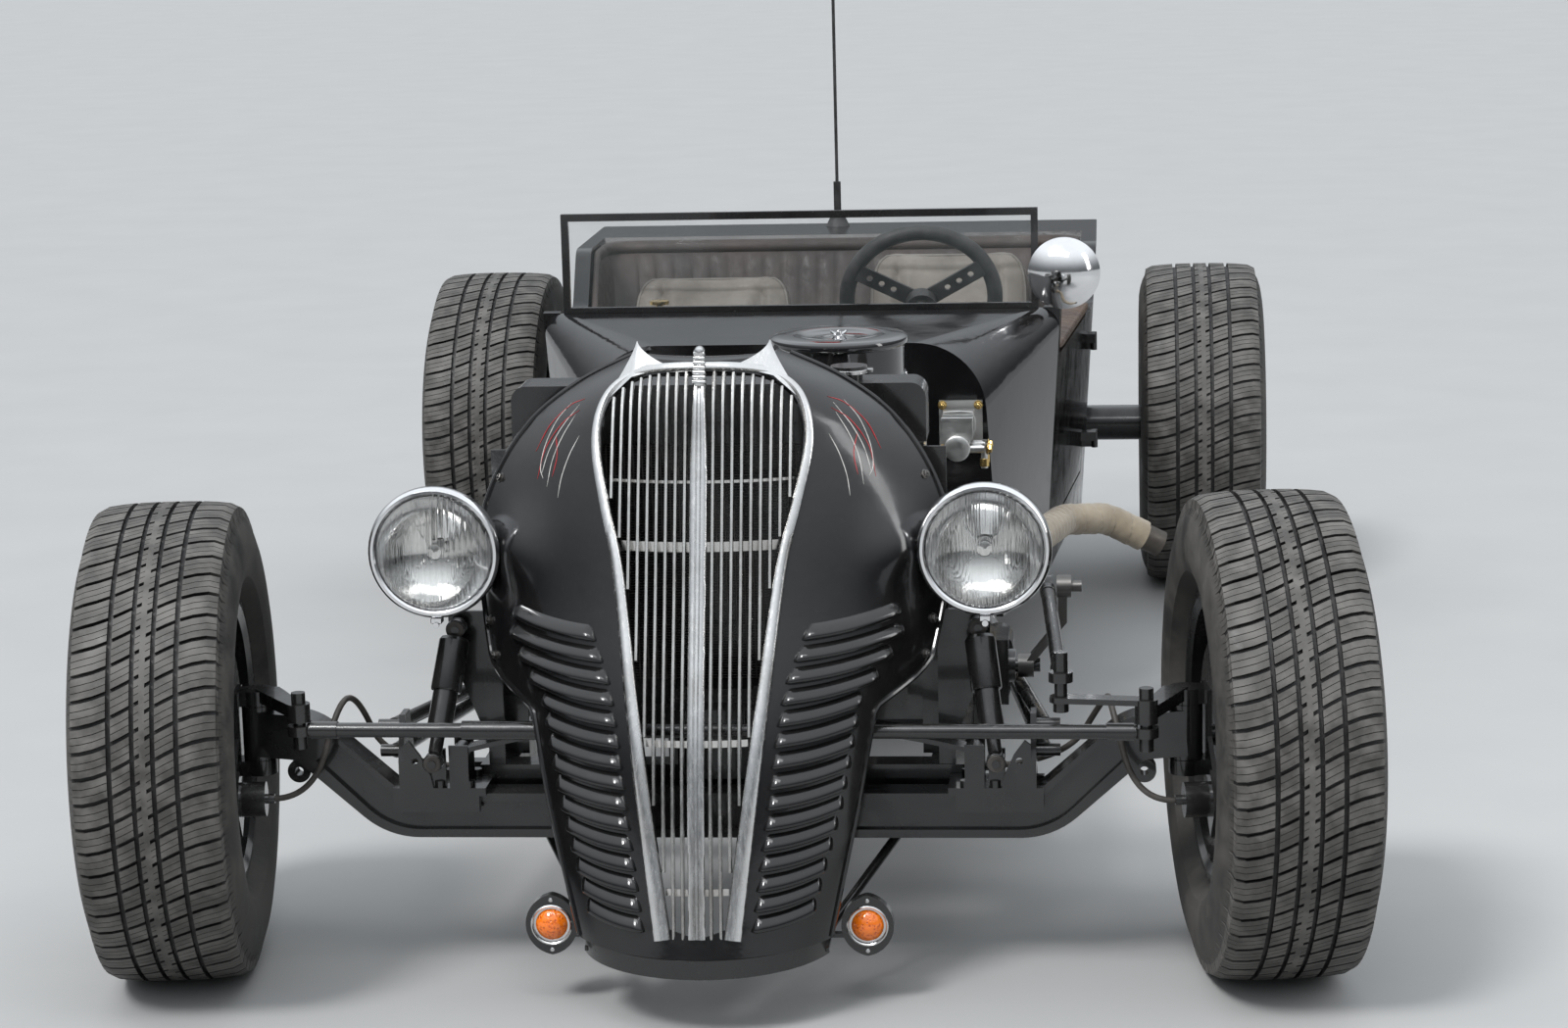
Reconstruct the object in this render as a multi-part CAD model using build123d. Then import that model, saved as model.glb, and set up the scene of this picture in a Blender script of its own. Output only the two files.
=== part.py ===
from build123d import *
from math import atan2, cos, pi, radians, sin, sqrt, tan
import os

# Street rod roadster, in millimetres. The front points to -Y, the car's left side is +X, Z is up.
# The origin is on the ground, midway between the tyres' foremost and rearmost points.

GAP = 0.3                       # between pieces of one body that seat on each other
RUN_GAP = 0.3                   # radial, between a pin or shaft and its bore
MOVE_GAP = 5.0                  # between a moving piece and what stands still

# Tyres and rims
FRONT_TYRE_R = 348.0
FRONT_TYRE_W = 228.0
FRONT_TREAD_W = 172.0
REAR_TYRE_R = 343.5
REAR_TYRE_W = 262.0
REAR_TREAD_W = 206.0
BEAD_R = 190.5
RIM_FLANGE_R = 207.0
FRONT_RIM_W = 166.0
REAR_RIM_W = 196.0

# Axle lines
WHEELBASE = 2690.0
FRONT_TRACK = 1580.0
REAR_TRACK = 1530.0
KINGPIN_X = 672.0
REST_STEER = 7.1                # degrees that the front wheels stand turned, fronts towards +X
SPINDLE_X = FRONT_TRACK / 2 - KINGPIN_X

STEER_SIN = sin(radians(REST_STEER))
STEER_COS = cos(radians(REST_STEER))
FRONT_REACH = FRONT_TYRE_R * STEER_COS + (FRONT_TREAD_W / 2 + SPINDLE_X) * STEER_SIN
FRONT_AXLE_Y = (FRONT_REACH - WHEELBASE - REAR_TYRE_R) / 2
REAR_AXLE_Y = FRONT_AXLE_Y + WHEELBASE
AX = FRONT_AXLE_Y               # short name for the line from which the front half is measured

# Front axle and what it carries
BEAM_BOTTOM_Z = 204.0
BEAM_H = 66.0
BEAM_DEPTH = 50.0
BEAM_FLAT_X = 470.0
BEAM_RISE_X = 600.0
BEAM_END_Z = 358.0
BEAM_BEND_R = 90.0
BOSS_R = 24.0
BOSS_BOTTOM_Z = 318.0
BOSS_TOP_Z = 398.0
KINGPIN_R = 11.0
EAR_X = 613.0
EAR_Z = 300.0
EAR_R = 17.0
EAR_HOLE_R = 6.5
PAD_IN_X = 334.0
PAD_OUT_X = 471.0
PAD_T = 12.0
PLATE_X = 452.0                 # upright plate of the radius rods
PLATE_T = 8.0
ROD_EYE_ZS = (366.0, 326.0)     # upper and lower bar at the plate
RADIUS_ROD_R = 11.0
RADIUS_ROD_REAR_Y = AX + 1000.0

# Transverse spring and shocks
SPRING_Y = AX - 19.0
SPRING_W = 34.0
LEAF_T = 7.0
SPRING_END_X = 372.0
SPRING_END_Z = 331.0
SPRING_MID_Z = 378.0
SHOCK_EYE = (404.0, AX - 62.0, 327.0)
SHOCK_TOP = (378.0, AX + 22.0, 505.0)
SHOCK_R = 18.0
SHOCK_BODY_R = 22.0

# Steering
ARM_BACK = 125.0                # knuckle arm, forwards of the kingpin
ARM_IN = 73.0                   # and inwards of it
ARM_BOSS_R = 16.0
ARM_BOTTOM_Z = 402.0
ARM_TOP_Z = 428.0
TIE_Z = 389.0
TIE_R = 10.5
DRAG_ARM_IN = 188.0
DRAG_ARM_BACK = 92.0
DRAG_ARM_T = 8.0
DRAG_Z = 464.0
DRAG_R = 11.0
DRAG_REAR = (470.0, AX + 400.0, 480.0)
PITMAN_L = 130.0
PITMAN_REST = 8.3               # degrees forward of upright
PITMAN_SHAFT_Y = DRAG_REAR[1] + PITMAN_L * sin(radians(PITMAN_REST))
PITMAN_SHAFT_Z = DRAG_REAR[2] - PITMAN_L * cos(radians(PITMAN_REST))
EYE_R = 17.0
EYE_T = 14.0

# Brakes
CALIPER_TURN = 128.0            # degrees from upright, towards the front
CALIPER_MID = 112.0             # radius of the caliper's piston
CALIPER_Y = -CALIPER_MID * sin(radians(CALIPER_TURN))
CALIPER_Z = FRONT_TYRE_R + CALIPER_MID * cos(radians(CALIPER_TURN))
GLAND_OUT = 28.0                # gland's face, inboard of the kingpin
HOSE_GLAND_X = 390.0
HOSE_R_OUT = 4.5

# Frame
RAIL_X = 330.0
RAIL_W = 50.0
RAIL_BOTTOM_Z = 215.0
RAIL_TOP_Z = 295.0
RAIL_FRONT_Y = AX + 42.0
KICK_Y = AX + 2520.0
KICK_RISE = 255.0
KICK_RUN = 75.0
RAIL_REAR_Y = AX + 2895.0

# Body tub
FIREWALL_Y = AX + 1200.0
COWL_REAR_Y = AX + 1530.0
FLOOR_TOP_Z = 320.0
SILL_Z = 250.0
ARCH_HALF_BOTTOM = 378.0
ARCH_HALF_TOP = 345.0
ARCH_TOP_Z = 742.0
ARCH_CORNER_R = 125.0
COWL_HALF_BOTTOM = 447.0
COWL_TOP_Z = 757.0
COWL_CORNER_R = 38.0
TUMBLEHOME = 3.7                # degrees that the sides lean out
WIDE_Y = AX + 2250.0
WIDE_HALF_BOTTOM = 510.0
WALL = 32.0
COWL_WALL = 28.0
DOOR_TOP_Z = 665.0
REAR_TOP_Z = 775.0
TAIL_Y = AX + 2965.0
TAIL_CORNER_R = 150.0
TAIL_ROLL_R = 165.0
TAIL_BOTTOM_Z = 400.0
ARCH_FRONT_Y = AX + 2480.0      # the gap in the body over the rear axle
ARCH_REAR_Y = AX + 2915.0
ARCH_Z = 552.0
ARCH_R = 90.0
SEATBACK_FOOT_Y = AX + 2380.0
SEATBACK_TOP_Y = AX + 2610.0
TUNNEL_HALF = 130.0
TUNNEL_TOP_Z = 430.0
TUNNEL_WALL = 15.0
TUNNEL_R = 60.0
TUNNEL_STEP_Y = AX + 1720.0     # from here back only the drive shaft needs room
SHAFT_TUNNEL_HALF = 60.0
SHAFT_TUNNEL_TOP_Z = 382.0
RAIL_CHANNEL = 361.0
LINK_CHANNEL = 404.0
DOOR_FRONT_Y = AX + 1575.0
DOOR_REAR_Y = AX + 2165.0
DOOR_BOTTOM_Z = 335.0
DOOR_BEVEL = 0.28
HINGE_OUT = 8.0
HINGE_R = 6.5
HINGE_H = 18.0
HINGE_ZS = (400.0, 600.0)

# Windscreen
SCREEN_Y = AX + 1568.0
SCREEN_HALF = 440.0
SCREEN_TOP_Z = 941.0
SCREEN_BAR = 13.0

# Grille shell's level outlines: z, half width, nose and back edge (y from the axle line)
SHELL_ROWS = (
    (115.0, 190.0, -315.0, -185.0),
    (390.0, 290.0, -262.0, -95.0),
    (600.0, 338.0, -185.0, 20.0),
    (700.0, 325.0, -150.0, 42.0),
    (800.0, 266.0, -115.0, 62.0),
    (860.0, 188.0, -95.0, 72.0),
    (905.0, 90.0, -66.0, 78.0),
)
SHELL_WALL = 6.0
BAR_PITCH = 13.2
BAR_FIRST_X = 19.5
BAR_COUNT = 9
BAR_W = 3.6
BAR_DEPTH = 7.0
CENTRE_BAR_HALF = 11.5
TRIM_PROUD = 5.0
LOUVRE_PROUD = 8.0
LOUVRE_COUNT = 15
LOUVRE_H = 19.0

# Lamps
LAMP_X = 391.0
LAMP_Y = AX - 25.0
LAMP_Z = 633.0
LAMP_R = 95.0
LAMP_LENS_R = 84.0
LAMP_DEPTH = 125.0
SIGNAL_X = 224.0
SIGNAL_Y = AX - 152.0
SIGNAL_Z = 118.0
SIGNAL_R = 31.0

# Engine
ENGINE_FRONT_Y = AX + 340.0
ENGINE_REAR_Y = AX + 1050.0
BLOCK_HALF = 115.0
BLOCK_BOTTOM_Z = 200.0
BLOCK_TOP_Z = 550.0
HEAD_TOP_Z = 640.0
ROCKER_TOP_Z = 712.0
CRANK_Z = 300.0
CARB_X = 135.0
CARB_Y = AX + 700.0
AIR_BOTTOM_Z = 757.0
AIR_TOP_Z = 838.0
AIR_R = 112.0

# Radiator
RAD_Y = AX + 130.0
RAD_T = 60.0
TANK_HALF = 303.0
TANK_BOTTOM_Z = 756.0
TANK_TOP_Z = 842.0
CORE_HALF = 270.0
CORE_BOTTOM_Z = 400.0

# Steering column and wheel
HUB = (207.0, AX + 1850.0, 733.0)
COLUMN_TILT = 20.5              # degrees below level, towards the front
WHEEL_RIM_R = 158.0
WHEEL_GRIP_R = 15.0

# Rear
REAR_TUBE_R = 38.0
DIFF_R = 125.0
MAST_X = -20.0
MAST_Y = AX + 2750.0
MAST_TOP_Z = 1650.0

os.makedirs("parts", exist_ok=True)


def write(name, *shapes):
    """Write one node from one or more solids."""
    solids = []
    for shape in shapes:
        solids.extend(shape.solids())
    node = solids[0] if len(solids) == 1 else Compound(children=solids)
    export_step(node, f"parts/{name}.step")


def block(x0, x1, y0, y1, z0, z1):
    """Box between two corners."""
    return Pos((x0 + x1) / 2, (y0 + y1) / 2, (z0 + z1) / 2) * Box(x1 - x0, y1 - y0, z1 - z0)


def rod(start, end, r):
    """Round bar between two points."""
    a = Vector(*start)
    b = Vector(*end)
    lie = Plane(origin=a, z_dir=b - a)
    return lie.location * Cylinder(r, (b - a).length, align=(Align.CENTER, Align.CENTER, Align.MIN))


def cone(start, end, r0, r1):
    """Tapered bar between two points."""
    a = Vector(*start)
    b = Vector(*end)
    lie = Plane(origin=a, z_dir=b - a)
    return lie.location * Cone(r0, r1, (b - a).length, align=(Align.CENTER, Align.CENTER, Align.MIN))


def bent_tube(points, radii, r):
    """Tube of straight runs joined by tangent arcs."""
    path = FilletPolyline(*points, radius=radii)
    section = Plane(origin=path @ 0, z_dir=path % 0) * Circle(r)
    return sweep(section, path)


def front_plate(points, y0, y1):
    """Plate whose outline is given as (x, z), between two y planes."""
    face = make_face(Polyline(*[(x, y0, z) for x, z in points], close=True))
    return extrude(face, y1 - y0, dir=(0, 1, 0))


def side_plate(points, x0, x1):
    """Plate whose outline is given as (y, z), between two x planes."""
    face = make_face(Polyline(*[(x0, y, z) for y, z in points], close=True))
    return extrude(face, x1 - x0, dir=(1, 0, 0))


def plan_plate(points, z0, z1):
    """Plate whose outline is given as (x, y), between two z planes."""
    face = make_face(Polyline(*[(x, y, z0) for x, y in points], close=True))
    return extrude(face, z1 - z0, dir=(0, 0, 1))


def lathe(points):
    """Ring about the X axis from a closed outline of (x, radius)."""
    face = make_face(Polyline(*[(x, 0, r) for x, r in points], close=True))
    return revolve(face, Axis.X, 360)


def dome(r, at, depth):
    """Arc from (r, at) to the axis x = 0, its centre on the axis."""
    ball = (r ** 2 + depth ** 2) / (2 * abs(depth))
    up = 1 if depth > 0 else -1
    centre = at + depth - up * ball
    mid = (atan2(at - centre, r) + up * pi / 2) / 2
    return ThreePointArc((r, at), (ball * cos(mid), centre + ball * sin(mid)), (0, at + depth))


def both_sides(shape):
    """The shape and its mirror image on the car's other side."""
    return (shape, mirror(shape, about=Plane.YZ))


# Wheels and tyres, built about the origin with the outer side to +X

def tyre(radius, width, tread_w, rim_w):
    half = width / 2
    tread = tread_w / 2
    bead = rim_w / 2 - 8
    seat = BEAD_R + GAP
    shoulder = (half - 7, radius - 34)
    bulge = (half, radius - 78)
    foot = (bead, RIM_FLANGE_R + 8)
    right = Line((tread, 0, radius), (-tread, 0, radius))
    left_side = ThreePointArc(
        (-tread, 0, radius),
        (-(tread + shoulder[0]) / 2 - 4, 0, radius - 13),
        (-shoulder[0], 0, shoulder[1]),
    )
    left_wall = ThreePointArc(
        (-shoulder[0], 0, shoulder[1]),
        (-bulge[0], 0, bulge[1]),
        (-foot[0], 0, foot[1]),
    )
    base = Polyline(
        (-foot[0], 0, foot[1]),
        (-bead, 0, seat),
        (bead, 0, seat),
        (foot[0], 0, foot[1]),
    )
    right_wall = ThreePointArc(
        (foot[0], 0, foot[1]),
        (bulge[0], 0, bulge[1]),
        (shoulder[0], 0, shoulder[1]),
    )
    right_side = ThreePointArc(
        (shoulder[0], 0, shoulder[1]),
        ((tread + shoulder[0]) / 2 + 4, 0, radius - 13),
        (tread, 0, radius),
    )
    section = make_face([right, left_side, left_wall, base, right_wall, right_side])
    return revolve(section, Axis.X, 360)


HUB_R = 58.0
SPINDLE_R = 15.0
DISC_X = 16.0                   # rim's disc, outboard of the wheel's middle
DISC_T = 7.0
BRAKE_R = 134.0
BRAKE_T = 10.0
BRAKE_X = -72.0                 # brake disc, inboard of the wheel's middle
HOLE_COUNT = 10
HOLE_R = 13.0
HOLE_PCR = 128.0


def rim(width, hub_in):
    half = width / 2
    barrel = lathe([
        (-half - 6, 199), (-half - 6, RIM_FLANGE_R), (-half, RIM_FLANGE_R), (-half + 5, BEAD_R),
        (-half + 40, BEAD_R), (-half + 50, 172), (half - 50, 172), (half - 40, BEAD_R),
        (half - 5, BEAD_R), (half, RIM_FLANGE_R), (half + 6, RIM_FLANGE_R), (half + 6, 199),
        (half, 185), (half - 37, 185), (half - 47, 166), (-half + 47, 166), (-half + 37, 185),
        (-half, 185),
    ])
    disc = lathe([
        (DISC_X, 30), (DISC_X, 72), (DISC_X + 22, 96), (DISC_X + 22, 112), (DISC_X - 10, 150),
        (DISC_X - 10, 167), (DISC_X - 10 + DISC_T, 167), (DISC_X - 10 + DISC_T, 153),
        (DISC_X + 22 + DISC_T, 114), (DISC_X + 22 + DISC_T, 93), (DISC_X + DISC_T, 69),
        (DISC_X + DISC_T, 30),
    ])
    for i in range(HOLE_COUNT):
        turn = 360.0 / HOLE_COUNT * i
        disc -= Rot(turn, 0, 0) * Pos(DISC_X, 0, HOLE_PCR) * Rot(0, 90, 0) * Cylinder(HOLE_R, 90)
    hub = lathe([
        (hub_in, 0), (hub_in, HUB_R), (DISC_X + 1, HUB_R), (DISC_X + DISC_T, 38),
        (DISC_X + 38, 36), (DISC_X + 46, 24), (DISC_X + 48, 0),
    ])
    return barrel + disc + hub


def front_wheel_rim():
    wheel = rim(FRONT_RIM_W, BRAKE_X - BRAKE_T / 2)
    wheel += lathe([
        (BRAKE_X - BRAKE_T / 2, HUB_R - 4), (BRAKE_X - BRAKE_T / 2, BRAKE_R),
        (BRAKE_X + BRAKE_T / 2, BRAKE_R), (BRAKE_X + BRAKE_T / 2, HUB_R - 4),
    ])
    bore = Pos(-60, 0, 0) * Rot(0, 90, 0) * Cylinder(SPINDLE_R + RUN_GAP, 120)
    return wheel - bore


def rear_wheel_rim():
    wheel = rim(REAR_RIM_W, -40.0)
    wheel += lathe([(-50, 50), (-50, 122), (8, 126), (8, 50)])
    return wheel - Pos(-60, 0, 0) * Rot(0, 90, 0) * Cylinder(SPINDLE_R + RUN_GAP, 120)


# car side name, sign of x
SIDES = (("left", 1), ("right", -1))


def place_wheel(side, x, y, z, steer):
    turn = steer if side > 0 else steer + 180
    return Location((x, y, z), (0, 0, turn))


def steered(side):
    """From the knuckle's own frame, kingpin at the origin and wheels straight, to the car."""
    return Location((side * KINGPIN_X, AX, 0), (0, 0, REST_STEER))


front_rim = front_wheel_rim()
front_tyre = tyre(FRONT_TYRE_R, FRONT_TYRE_W, FRONT_TREAD_W, FRONT_RIM_W)
rear_rim = rear_wheel_rim()
rear_tyre = tyre(REAR_TYRE_R, REAR_TYRE_W, REAR_TREAD_W, REAR_RIM_W)

for name, side in SIDES:
    centre_x = side * (KINGPIN_X + SPINDLE_X * STEER_COS)
    centre_y = AX + side * SPINDLE_X * STEER_SIN
    front_place = place_wheel(side, centre_x, centre_y, FRONT_TYRE_R, REST_STEER)
    write(f"wheel_front_{name}", front_place * front_rim)
    write(f"tyre_front_{name}", front_place * front_tyre)
    rear_place = place_wheel(side, side * REAR_TRACK / 2, REAR_AXLE_Y, REAR_TYRE_R, 0)
    write(f"wheel_rear_{name}", rear_place * rear_rim)
    write(f"tyre_rear_{name}", rear_place * rear_tyre)


# Knuckles: yoke on the kingpin, spindle, steering arm and brake caliper

def knuckle(side):
    ear_h = 22.0
    top_z = BOSS_TOP_Z + 1
    low_z = BOSS_BOTTOM_Z - 1
    wheel_z = FRONT_TYRE_R
    flange_x = SPINDLE_X + BRAKE_X - BRAKE_T / 2 - 15
    body = Pos(0, 0, top_z + ear_h / 2) * Cylinder(BOSS_R, ear_h)
    body += Pos(0, 0, low_z - ear_h / 2) * Cylinder(BOSS_R, ear_h)
    upright_x = BOSS_R + 2.0
    body += block(0, upright_x + 6, -19, 19, top_z, top_z + ear_h)
    body += block(0, upright_x + 6, -19, 19, low_z - ear_h, low_z)
    body = mirror(body, about=Plane.YZ) if side < 0 else body
    spread = block(upright_x, upright_x + 7, -30, 30, low_z - ear_h, top_z + ear_h)
    spindle = rod((upright_x, 0, wheel_z), (SPINDLE_X + DISC_X - 20, 0, wheel_z), SPINDLE_R)
    # The caliper straddles the disc below and ahead of the spindle
    grip = block(SPINDLE_X + BRAKE_X - 26, SPINDLE_X + BRAKE_X + 20, -36, 36, 88, 152)
    slot = block(
        SPINDLE_X + BRAKE_X - BRAKE_T / 2 - 3, SPINDLE_X + BRAKE_X + BRAKE_T / 2 + 3,
        -40, 40, 80, BRAKE_R + 4,
    )
    grip -= slot
    grip += rod((SPINDLE_X + BRAKE_X - 62, 0, 112), (SPINDLE_X + BRAKE_X - 20, 0, 112), 25)
    grip += block(upright_x, upright_x + 7, -24, 24, 20, 100)
    grip += block(upright_x, upright_x + 7, -10, 10, 90, 100)
    grip += rod((-GLAND_OUT, 0, CALIPER_MID), (SPINDLE_X + BRAKE_X - 60, 0, CALIPER_MID), 7)
    place = Pos(0, 0, wheel_z) * Rot(CALIPER_TURN, 0, 0)
    outer = spread + spindle + place * grip
    if side < 0:
        outer = mirror(outer, about=Plane.YZ)
    # Steering arm, forwards and inwards to the tie rod's boss
    boss_x = -side * ARM_IN
    arm = plan_plate(
        [(-side * 12 + 20, 0), (-side * 12 - 20, 0), (boss_x - 12, -ARM_BACK + 4),
         (boss_x + 12, -ARM_BACK + 4)],
        ARM_BOTTOM_Z + 3, ARM_TOP_Z - 5,
    )
    arm += Pos(boss_x, -ARM_BACK, (ARM_BOTTOM_Z + ARM_TOP_Z) / 2) * Cylinder(
        ARM_BOSS_R, ARM_TOP_Z - ARM_BOTTOM_Z)
    whole = body + outer + arm
    whole -= Pos(0, 0, BEAM_END_Z) * Cylinder(KINGPIN_R + RUN_GAP, 300)
    clear = BOSS_R + 1.5
    whole -= Pos(0, 0, (BOSS_BOTTOM_Z + BOSS_TOP_Z) / 2) * Cylinder(clear, BOSS_TOP_Z - BOSS_BOTTOM_Z + 2)
    nut_z = ARM_TOP_Z
    if side > 0:
        # Flat arm of the drag link, bolted on the tie rod's boss
        end_x = -DRAG_ARM_IN
        end_y = -DRAG_ARM_BACK
        flat = plan_plate(
            [(boss_x + 6, -ARM_BACK - 14), (boss_x + 6, -ARM_BACK + 14), (end_x, end_y + 15),
             (end_x, end_y - 15)],
            ARM_TOP_Z, ARM_TOP_Z + DRAG_ARM_T,
        )
        flat += Pos(end_x, end_y, ARM_TOP_Z + DRAG_ARM_T / 2) * Cylinder(16, DRAG_ARM_T)
        flat += Pos(boss_x, -ARM_BACK, ARM_TOP_Z + DRAG_ARM_T / 2) * Cylinder(ARM_BOSS_R, DRAG_ARM_T)
        flat += Pos(end_x, end_y, ARM_TOP_Z - 7) * Cylinder(11, 14)
        whole += flat
        nut_z += DRAG_ARM_T
    whole += Pos(boss_x, -ARM_BACK, nut_z + 8) * Cylinder(10, 16)
    return steered(side) * whole


for name, side in SIDES:
    write(f"knuckle_{name}", knuckle(side))

# Tie rod between the two arms, its eyes under their bosses
tie_left = steered(1) * Pos(-ARM_IN, -ARM_BACK, TIE_Z)
tie_right = steered(-1) * Pos(ARM_IN, -ARM_BACK, TIE_Z)
tie_a = tie_left.position
tie_b = tie_right.position
tie_dir = (tie_b - tie_a).normalized()
eye_top = ARM_BOTTOM_Z - GAP
tie = rod(tuple(tie_a + tie_dir * 12), tuple(tie_b - tie_dir * 12), TIE_R)
tie += rod(tuple(tie_a + tie_dir * 17), tuple(tie_a + tie_dir * 55), TIE_R + 2)
tie += rod(tuple(tie_b - tie_dir * 17), tuple(tie_b - tie_dir * 55), TIE_R + 2)
tie += rod(tuple(tie_a + tie_dir * 820), tuple(tie_b - tie_dir * 235), TIE_R + 3)
for end in (tie_a, tie_b):
    tie += Pos(end.X, end.Y, TIE_Z) * Cylinder(EYE_R, EYE_T)
    tie += Pos(end.X, end.Y, (TIE_Z + eye_top) / 2) * Cylinder(9, eye_top - TIE_Z)
    tie += Pos(end.X, end.Y, TIE_Z - 17) * Cylinder(10, 20)
write("tie_rod", tie)

# Drag link from the flat arm to the pitman arm
drag_front = steered(1) * Pos(-DRAG_ARM_IN, -DRAG_ARM_BACK, DRAG_Z)
drag_a = drag_front.position
drag_b = Vector(*DRAG_REAR)
drag_dir = (drag_b - drag_a).normalized()
drag = rod(tuple(drag_a + drag_dir * 12), tuple(drag_b - drag_dir * 12), DRAG_R)
drag += rod(tuple(drag_a + drag_dir * 12), tuple(drag_a + drag_dir * 45), DRAG_R + 2)
drag += rod(tuple(drag_b - drag_dir * 26), tuple(drag_b - drag_dir * 50), DRAG_R + 1)
arm_face = ARM_TOP_Z + DRAG_ARM_T + GAP
drag += Pos(drag_a.X, drag_a.Y, DRAG_Z) * Cylinder(EYE_R, EYE_T)
drag += Pos(drag_a.X, drag_a.Y, (arm_face + DRAG_Z) / 2) * Cylinder(9, DRAG_Z - arm_face)
drag += Pos(drag_a.X, drag_a.Y, DRAG_Z + 20) * Cylinder(10, 30)
drag += Pos(drag_b.X, drag_b.Y, drag_b.Z) * Rot(0, 90, 0) * Cylinder(EYE_R, EYE_T)
write("drag_link", drag)

# Pitman arm, upright from the box's shaft
ring_x0 = DRAG_REAR[0] + EYE_T / 2 + 8.0
ring_x1 = ring_x0 + 22
shaft_x0 = 424.0
shaft_x1 = 448.0
ring_y = DRAG_REAR[1]
ring_z = DRAG_REAR[2]
pitman = rod((ring_x0, ring_y, ring_z), (ring_x1, ring_y, ring_z), 18)
pitman += rod((ring_x1, ring_y, ring_z), (ring_x1 + 16, ring_y, ring_z), 9)
pitman += rod((shaft_x0, PITMAN_SHAFT_Y, PITMAN_SHAFT_Z), (shaft_x1, PITMAN_SHAFT_Y, PITMAN_SHAFT_Z), 19)
web_low = Plane(origin=(shaft_x0 + 12, PITMAN_SHAFT_Y, PITMAN_SHAFT_Z), z_dir=(0, 0, 1)) * Rectangle(14, 30)
elbow_y = PITMAN_SHAFT_Y - 0.55 * (PITMAN_SHAFT_Y - ring_y)
web_mid = Plane(origin=(ring_x0 + 8, elbow_y, PITMAN_SHAFT_Z + 72), z_dir=(0, 0, 1)) * Rectangle(14, 26)
web_top = Plane(origin=(ring_x0 + 9, ring_y, ring_z), z_dir=(0, 0, 1)) * Rectangle(14, 24)
pitman += loft([web_low, web_mid], ruled=True)
pitman += loft([web_mid, web_top], ruled=True)
pitman -= rod((shaft_x0 - 5, PITMAN_SHAFT_Y, PITMAN_SHAFT_Z),
              (shaft_x1 + 20, PITMAN_SHAFT_Y, PITMAN_SHAFT_Z), 11 + RUN_GAP)
write("pitman_arm", pitman)

# Front axle: dropped I-beam with bosses, ears and kingpins
beam_mid_z = BEAM_BOTTOM_Z + BEAM_H / 2
beam_path = FilletPolyline(
    (-KINGPIN_X, AX, BEAM_END_Z), (-BEAM_RISE_X, AX, BEAM_END_Z - 6), (-BEAM_FLAT_X, AX, beam_mid_z),
    (BEAM_FLAT_X, AX, beam_mid_z), (BEAM_RISE_X, AX, BEAM_END_Z - 6), (KINGPIN_X, AX, BEAM_END_Z),
    radius=[60, BEAM_BEND_R, BEAM_BEND_R, 60],
)
beam_plane = Plane(origin=beam_path @ 0, z_dir=beam_path % 0, x_dir=(0, 1, 0))
beam = sweep(beam_plane * Rectangle(BEAM_DEPTH, BEAM_H), beam_path)
flange_t = 12.0
pocket_depth = 18.0
pocket_x = BEAM_RISE_X - 30
pocket_path = FilletPolyline(
    (-pocket_x, AX, BEAM_END_Z - 6 - 30 * 0.6), (-BEAM_FLAT_X, AX, beam_mid_z),
    (BEAM_FLAT_X, AX, beam_mid_z), (pocket_x, AX, BEAM_END_Z - 6 - 30 * 0.6),
    radius=BEAM_BEND_R,
)
pocket_plane = Plane(origin=pocket_path @ 0, z_dir=pocket_path % 0, x_dir=(0, 1, 0))
pocket_face = pocket_plane * Rectangle(pocket_depth, BEAM_H - 2 * flange_t)
pocket = sweep(pocket_face, pocket_path)
for away in (-1, 1):
    beam -= Pos(0, away * BEAM_DEPTH / 2, 0) * pocket
for side in (-1, 1):
    boss_mid = (BOSS_BOTTOM_Z + BOSS_TOP_Z) / 2
    beam += Pos(side * KINGPIN_X, AX, boss_mid) * Cylinder(BOSS_R, BOSS_TOP_Z - BOSS_BOTTOM_Z)
    beam += Pos(side * KINGPIN_X, AX, boss_mid) * Cylinder(KINGPIN_R, BOSS_TOP_Z - BOSS_BOTTOM_Z + 46)
    ear = Pos(side * EAR_X, AX, EAR_Z) * Rot(90, 0, 0) * Cylinder(EAR_R, 26)
    beam += ear
    beam -= Pos(side * EAR_X, AX, EAR_Z) * Rot(90, 0, 0) * Cylinder(EAR_HOLE_R, 80)
write("front_axle", beam)

# Pads, plates and radius rods
pad_z0 = BEAM_BOTTOM_Z + BEAM_H
pad_z1 = pad_z0 + PAD_T
pads = block(PAD_IN_X, PAD_OUT_X - 50, AX - 40, AX + 40, pad_z0, pad_z1)
pads += block(PAD_IN_X + 10, PLATE_X + 18, AX - 40, AX - 25 - GAP, pad_z0 - 24, pad_z1)
pads += block(PAD_IN_X + 10, PLATE_X + 18, AX + 25 + GAP, AX + 40, pad_z0 - 24, pad_z1)
for bolt_x in (PAD_IN_X + 25, PAD_OUT_X - 70):
    for bolt_y in (AX - 32, AX + 32):
        pads += Pos(bolt_x, bolt_y, pad_z1 + 5) * Cylinder(8, 10)
plate = side_plate(
    [(AX - 40, pad_z0 - 24), (AX - 40, 322), (AX - 18, 386), (AX + 18, 386), (AX + 40, 322),
     (AX + 40, pad_z0 - 24)],
    PLATE_X, PLATE_X + PLATE_T,
)
plate -= block(PLATE_X - 1, PLATE_X + PLATE_T + 1, AX - 25 - GAP, AX + 25 + GAP, pad_z0 - 30, pad_z0 + 32)
wing = front_plate(
    [(410, pad_z1 - 2), (452.5, pad_z1 - 2), (452.5, 345), (444, 352), (428, 330), (414, 300)],
    AX - 40, AX - 34,
)
wing -= Pos(436, AX - 37, 322) * Rot(90, 0, 0) * Cylinder(5, 20)
hardware = pads + plate + wing
# Eye bracket of the spring, with its cross pin
for pin_y in (AX - 40, AX + 8):
    hardware += block(SPRING_END_X - 14, SPRING_END_X + 14, pin_y, pin_y + 4, pad_z1 - 1, SPRING_END_Z + 14)
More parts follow.
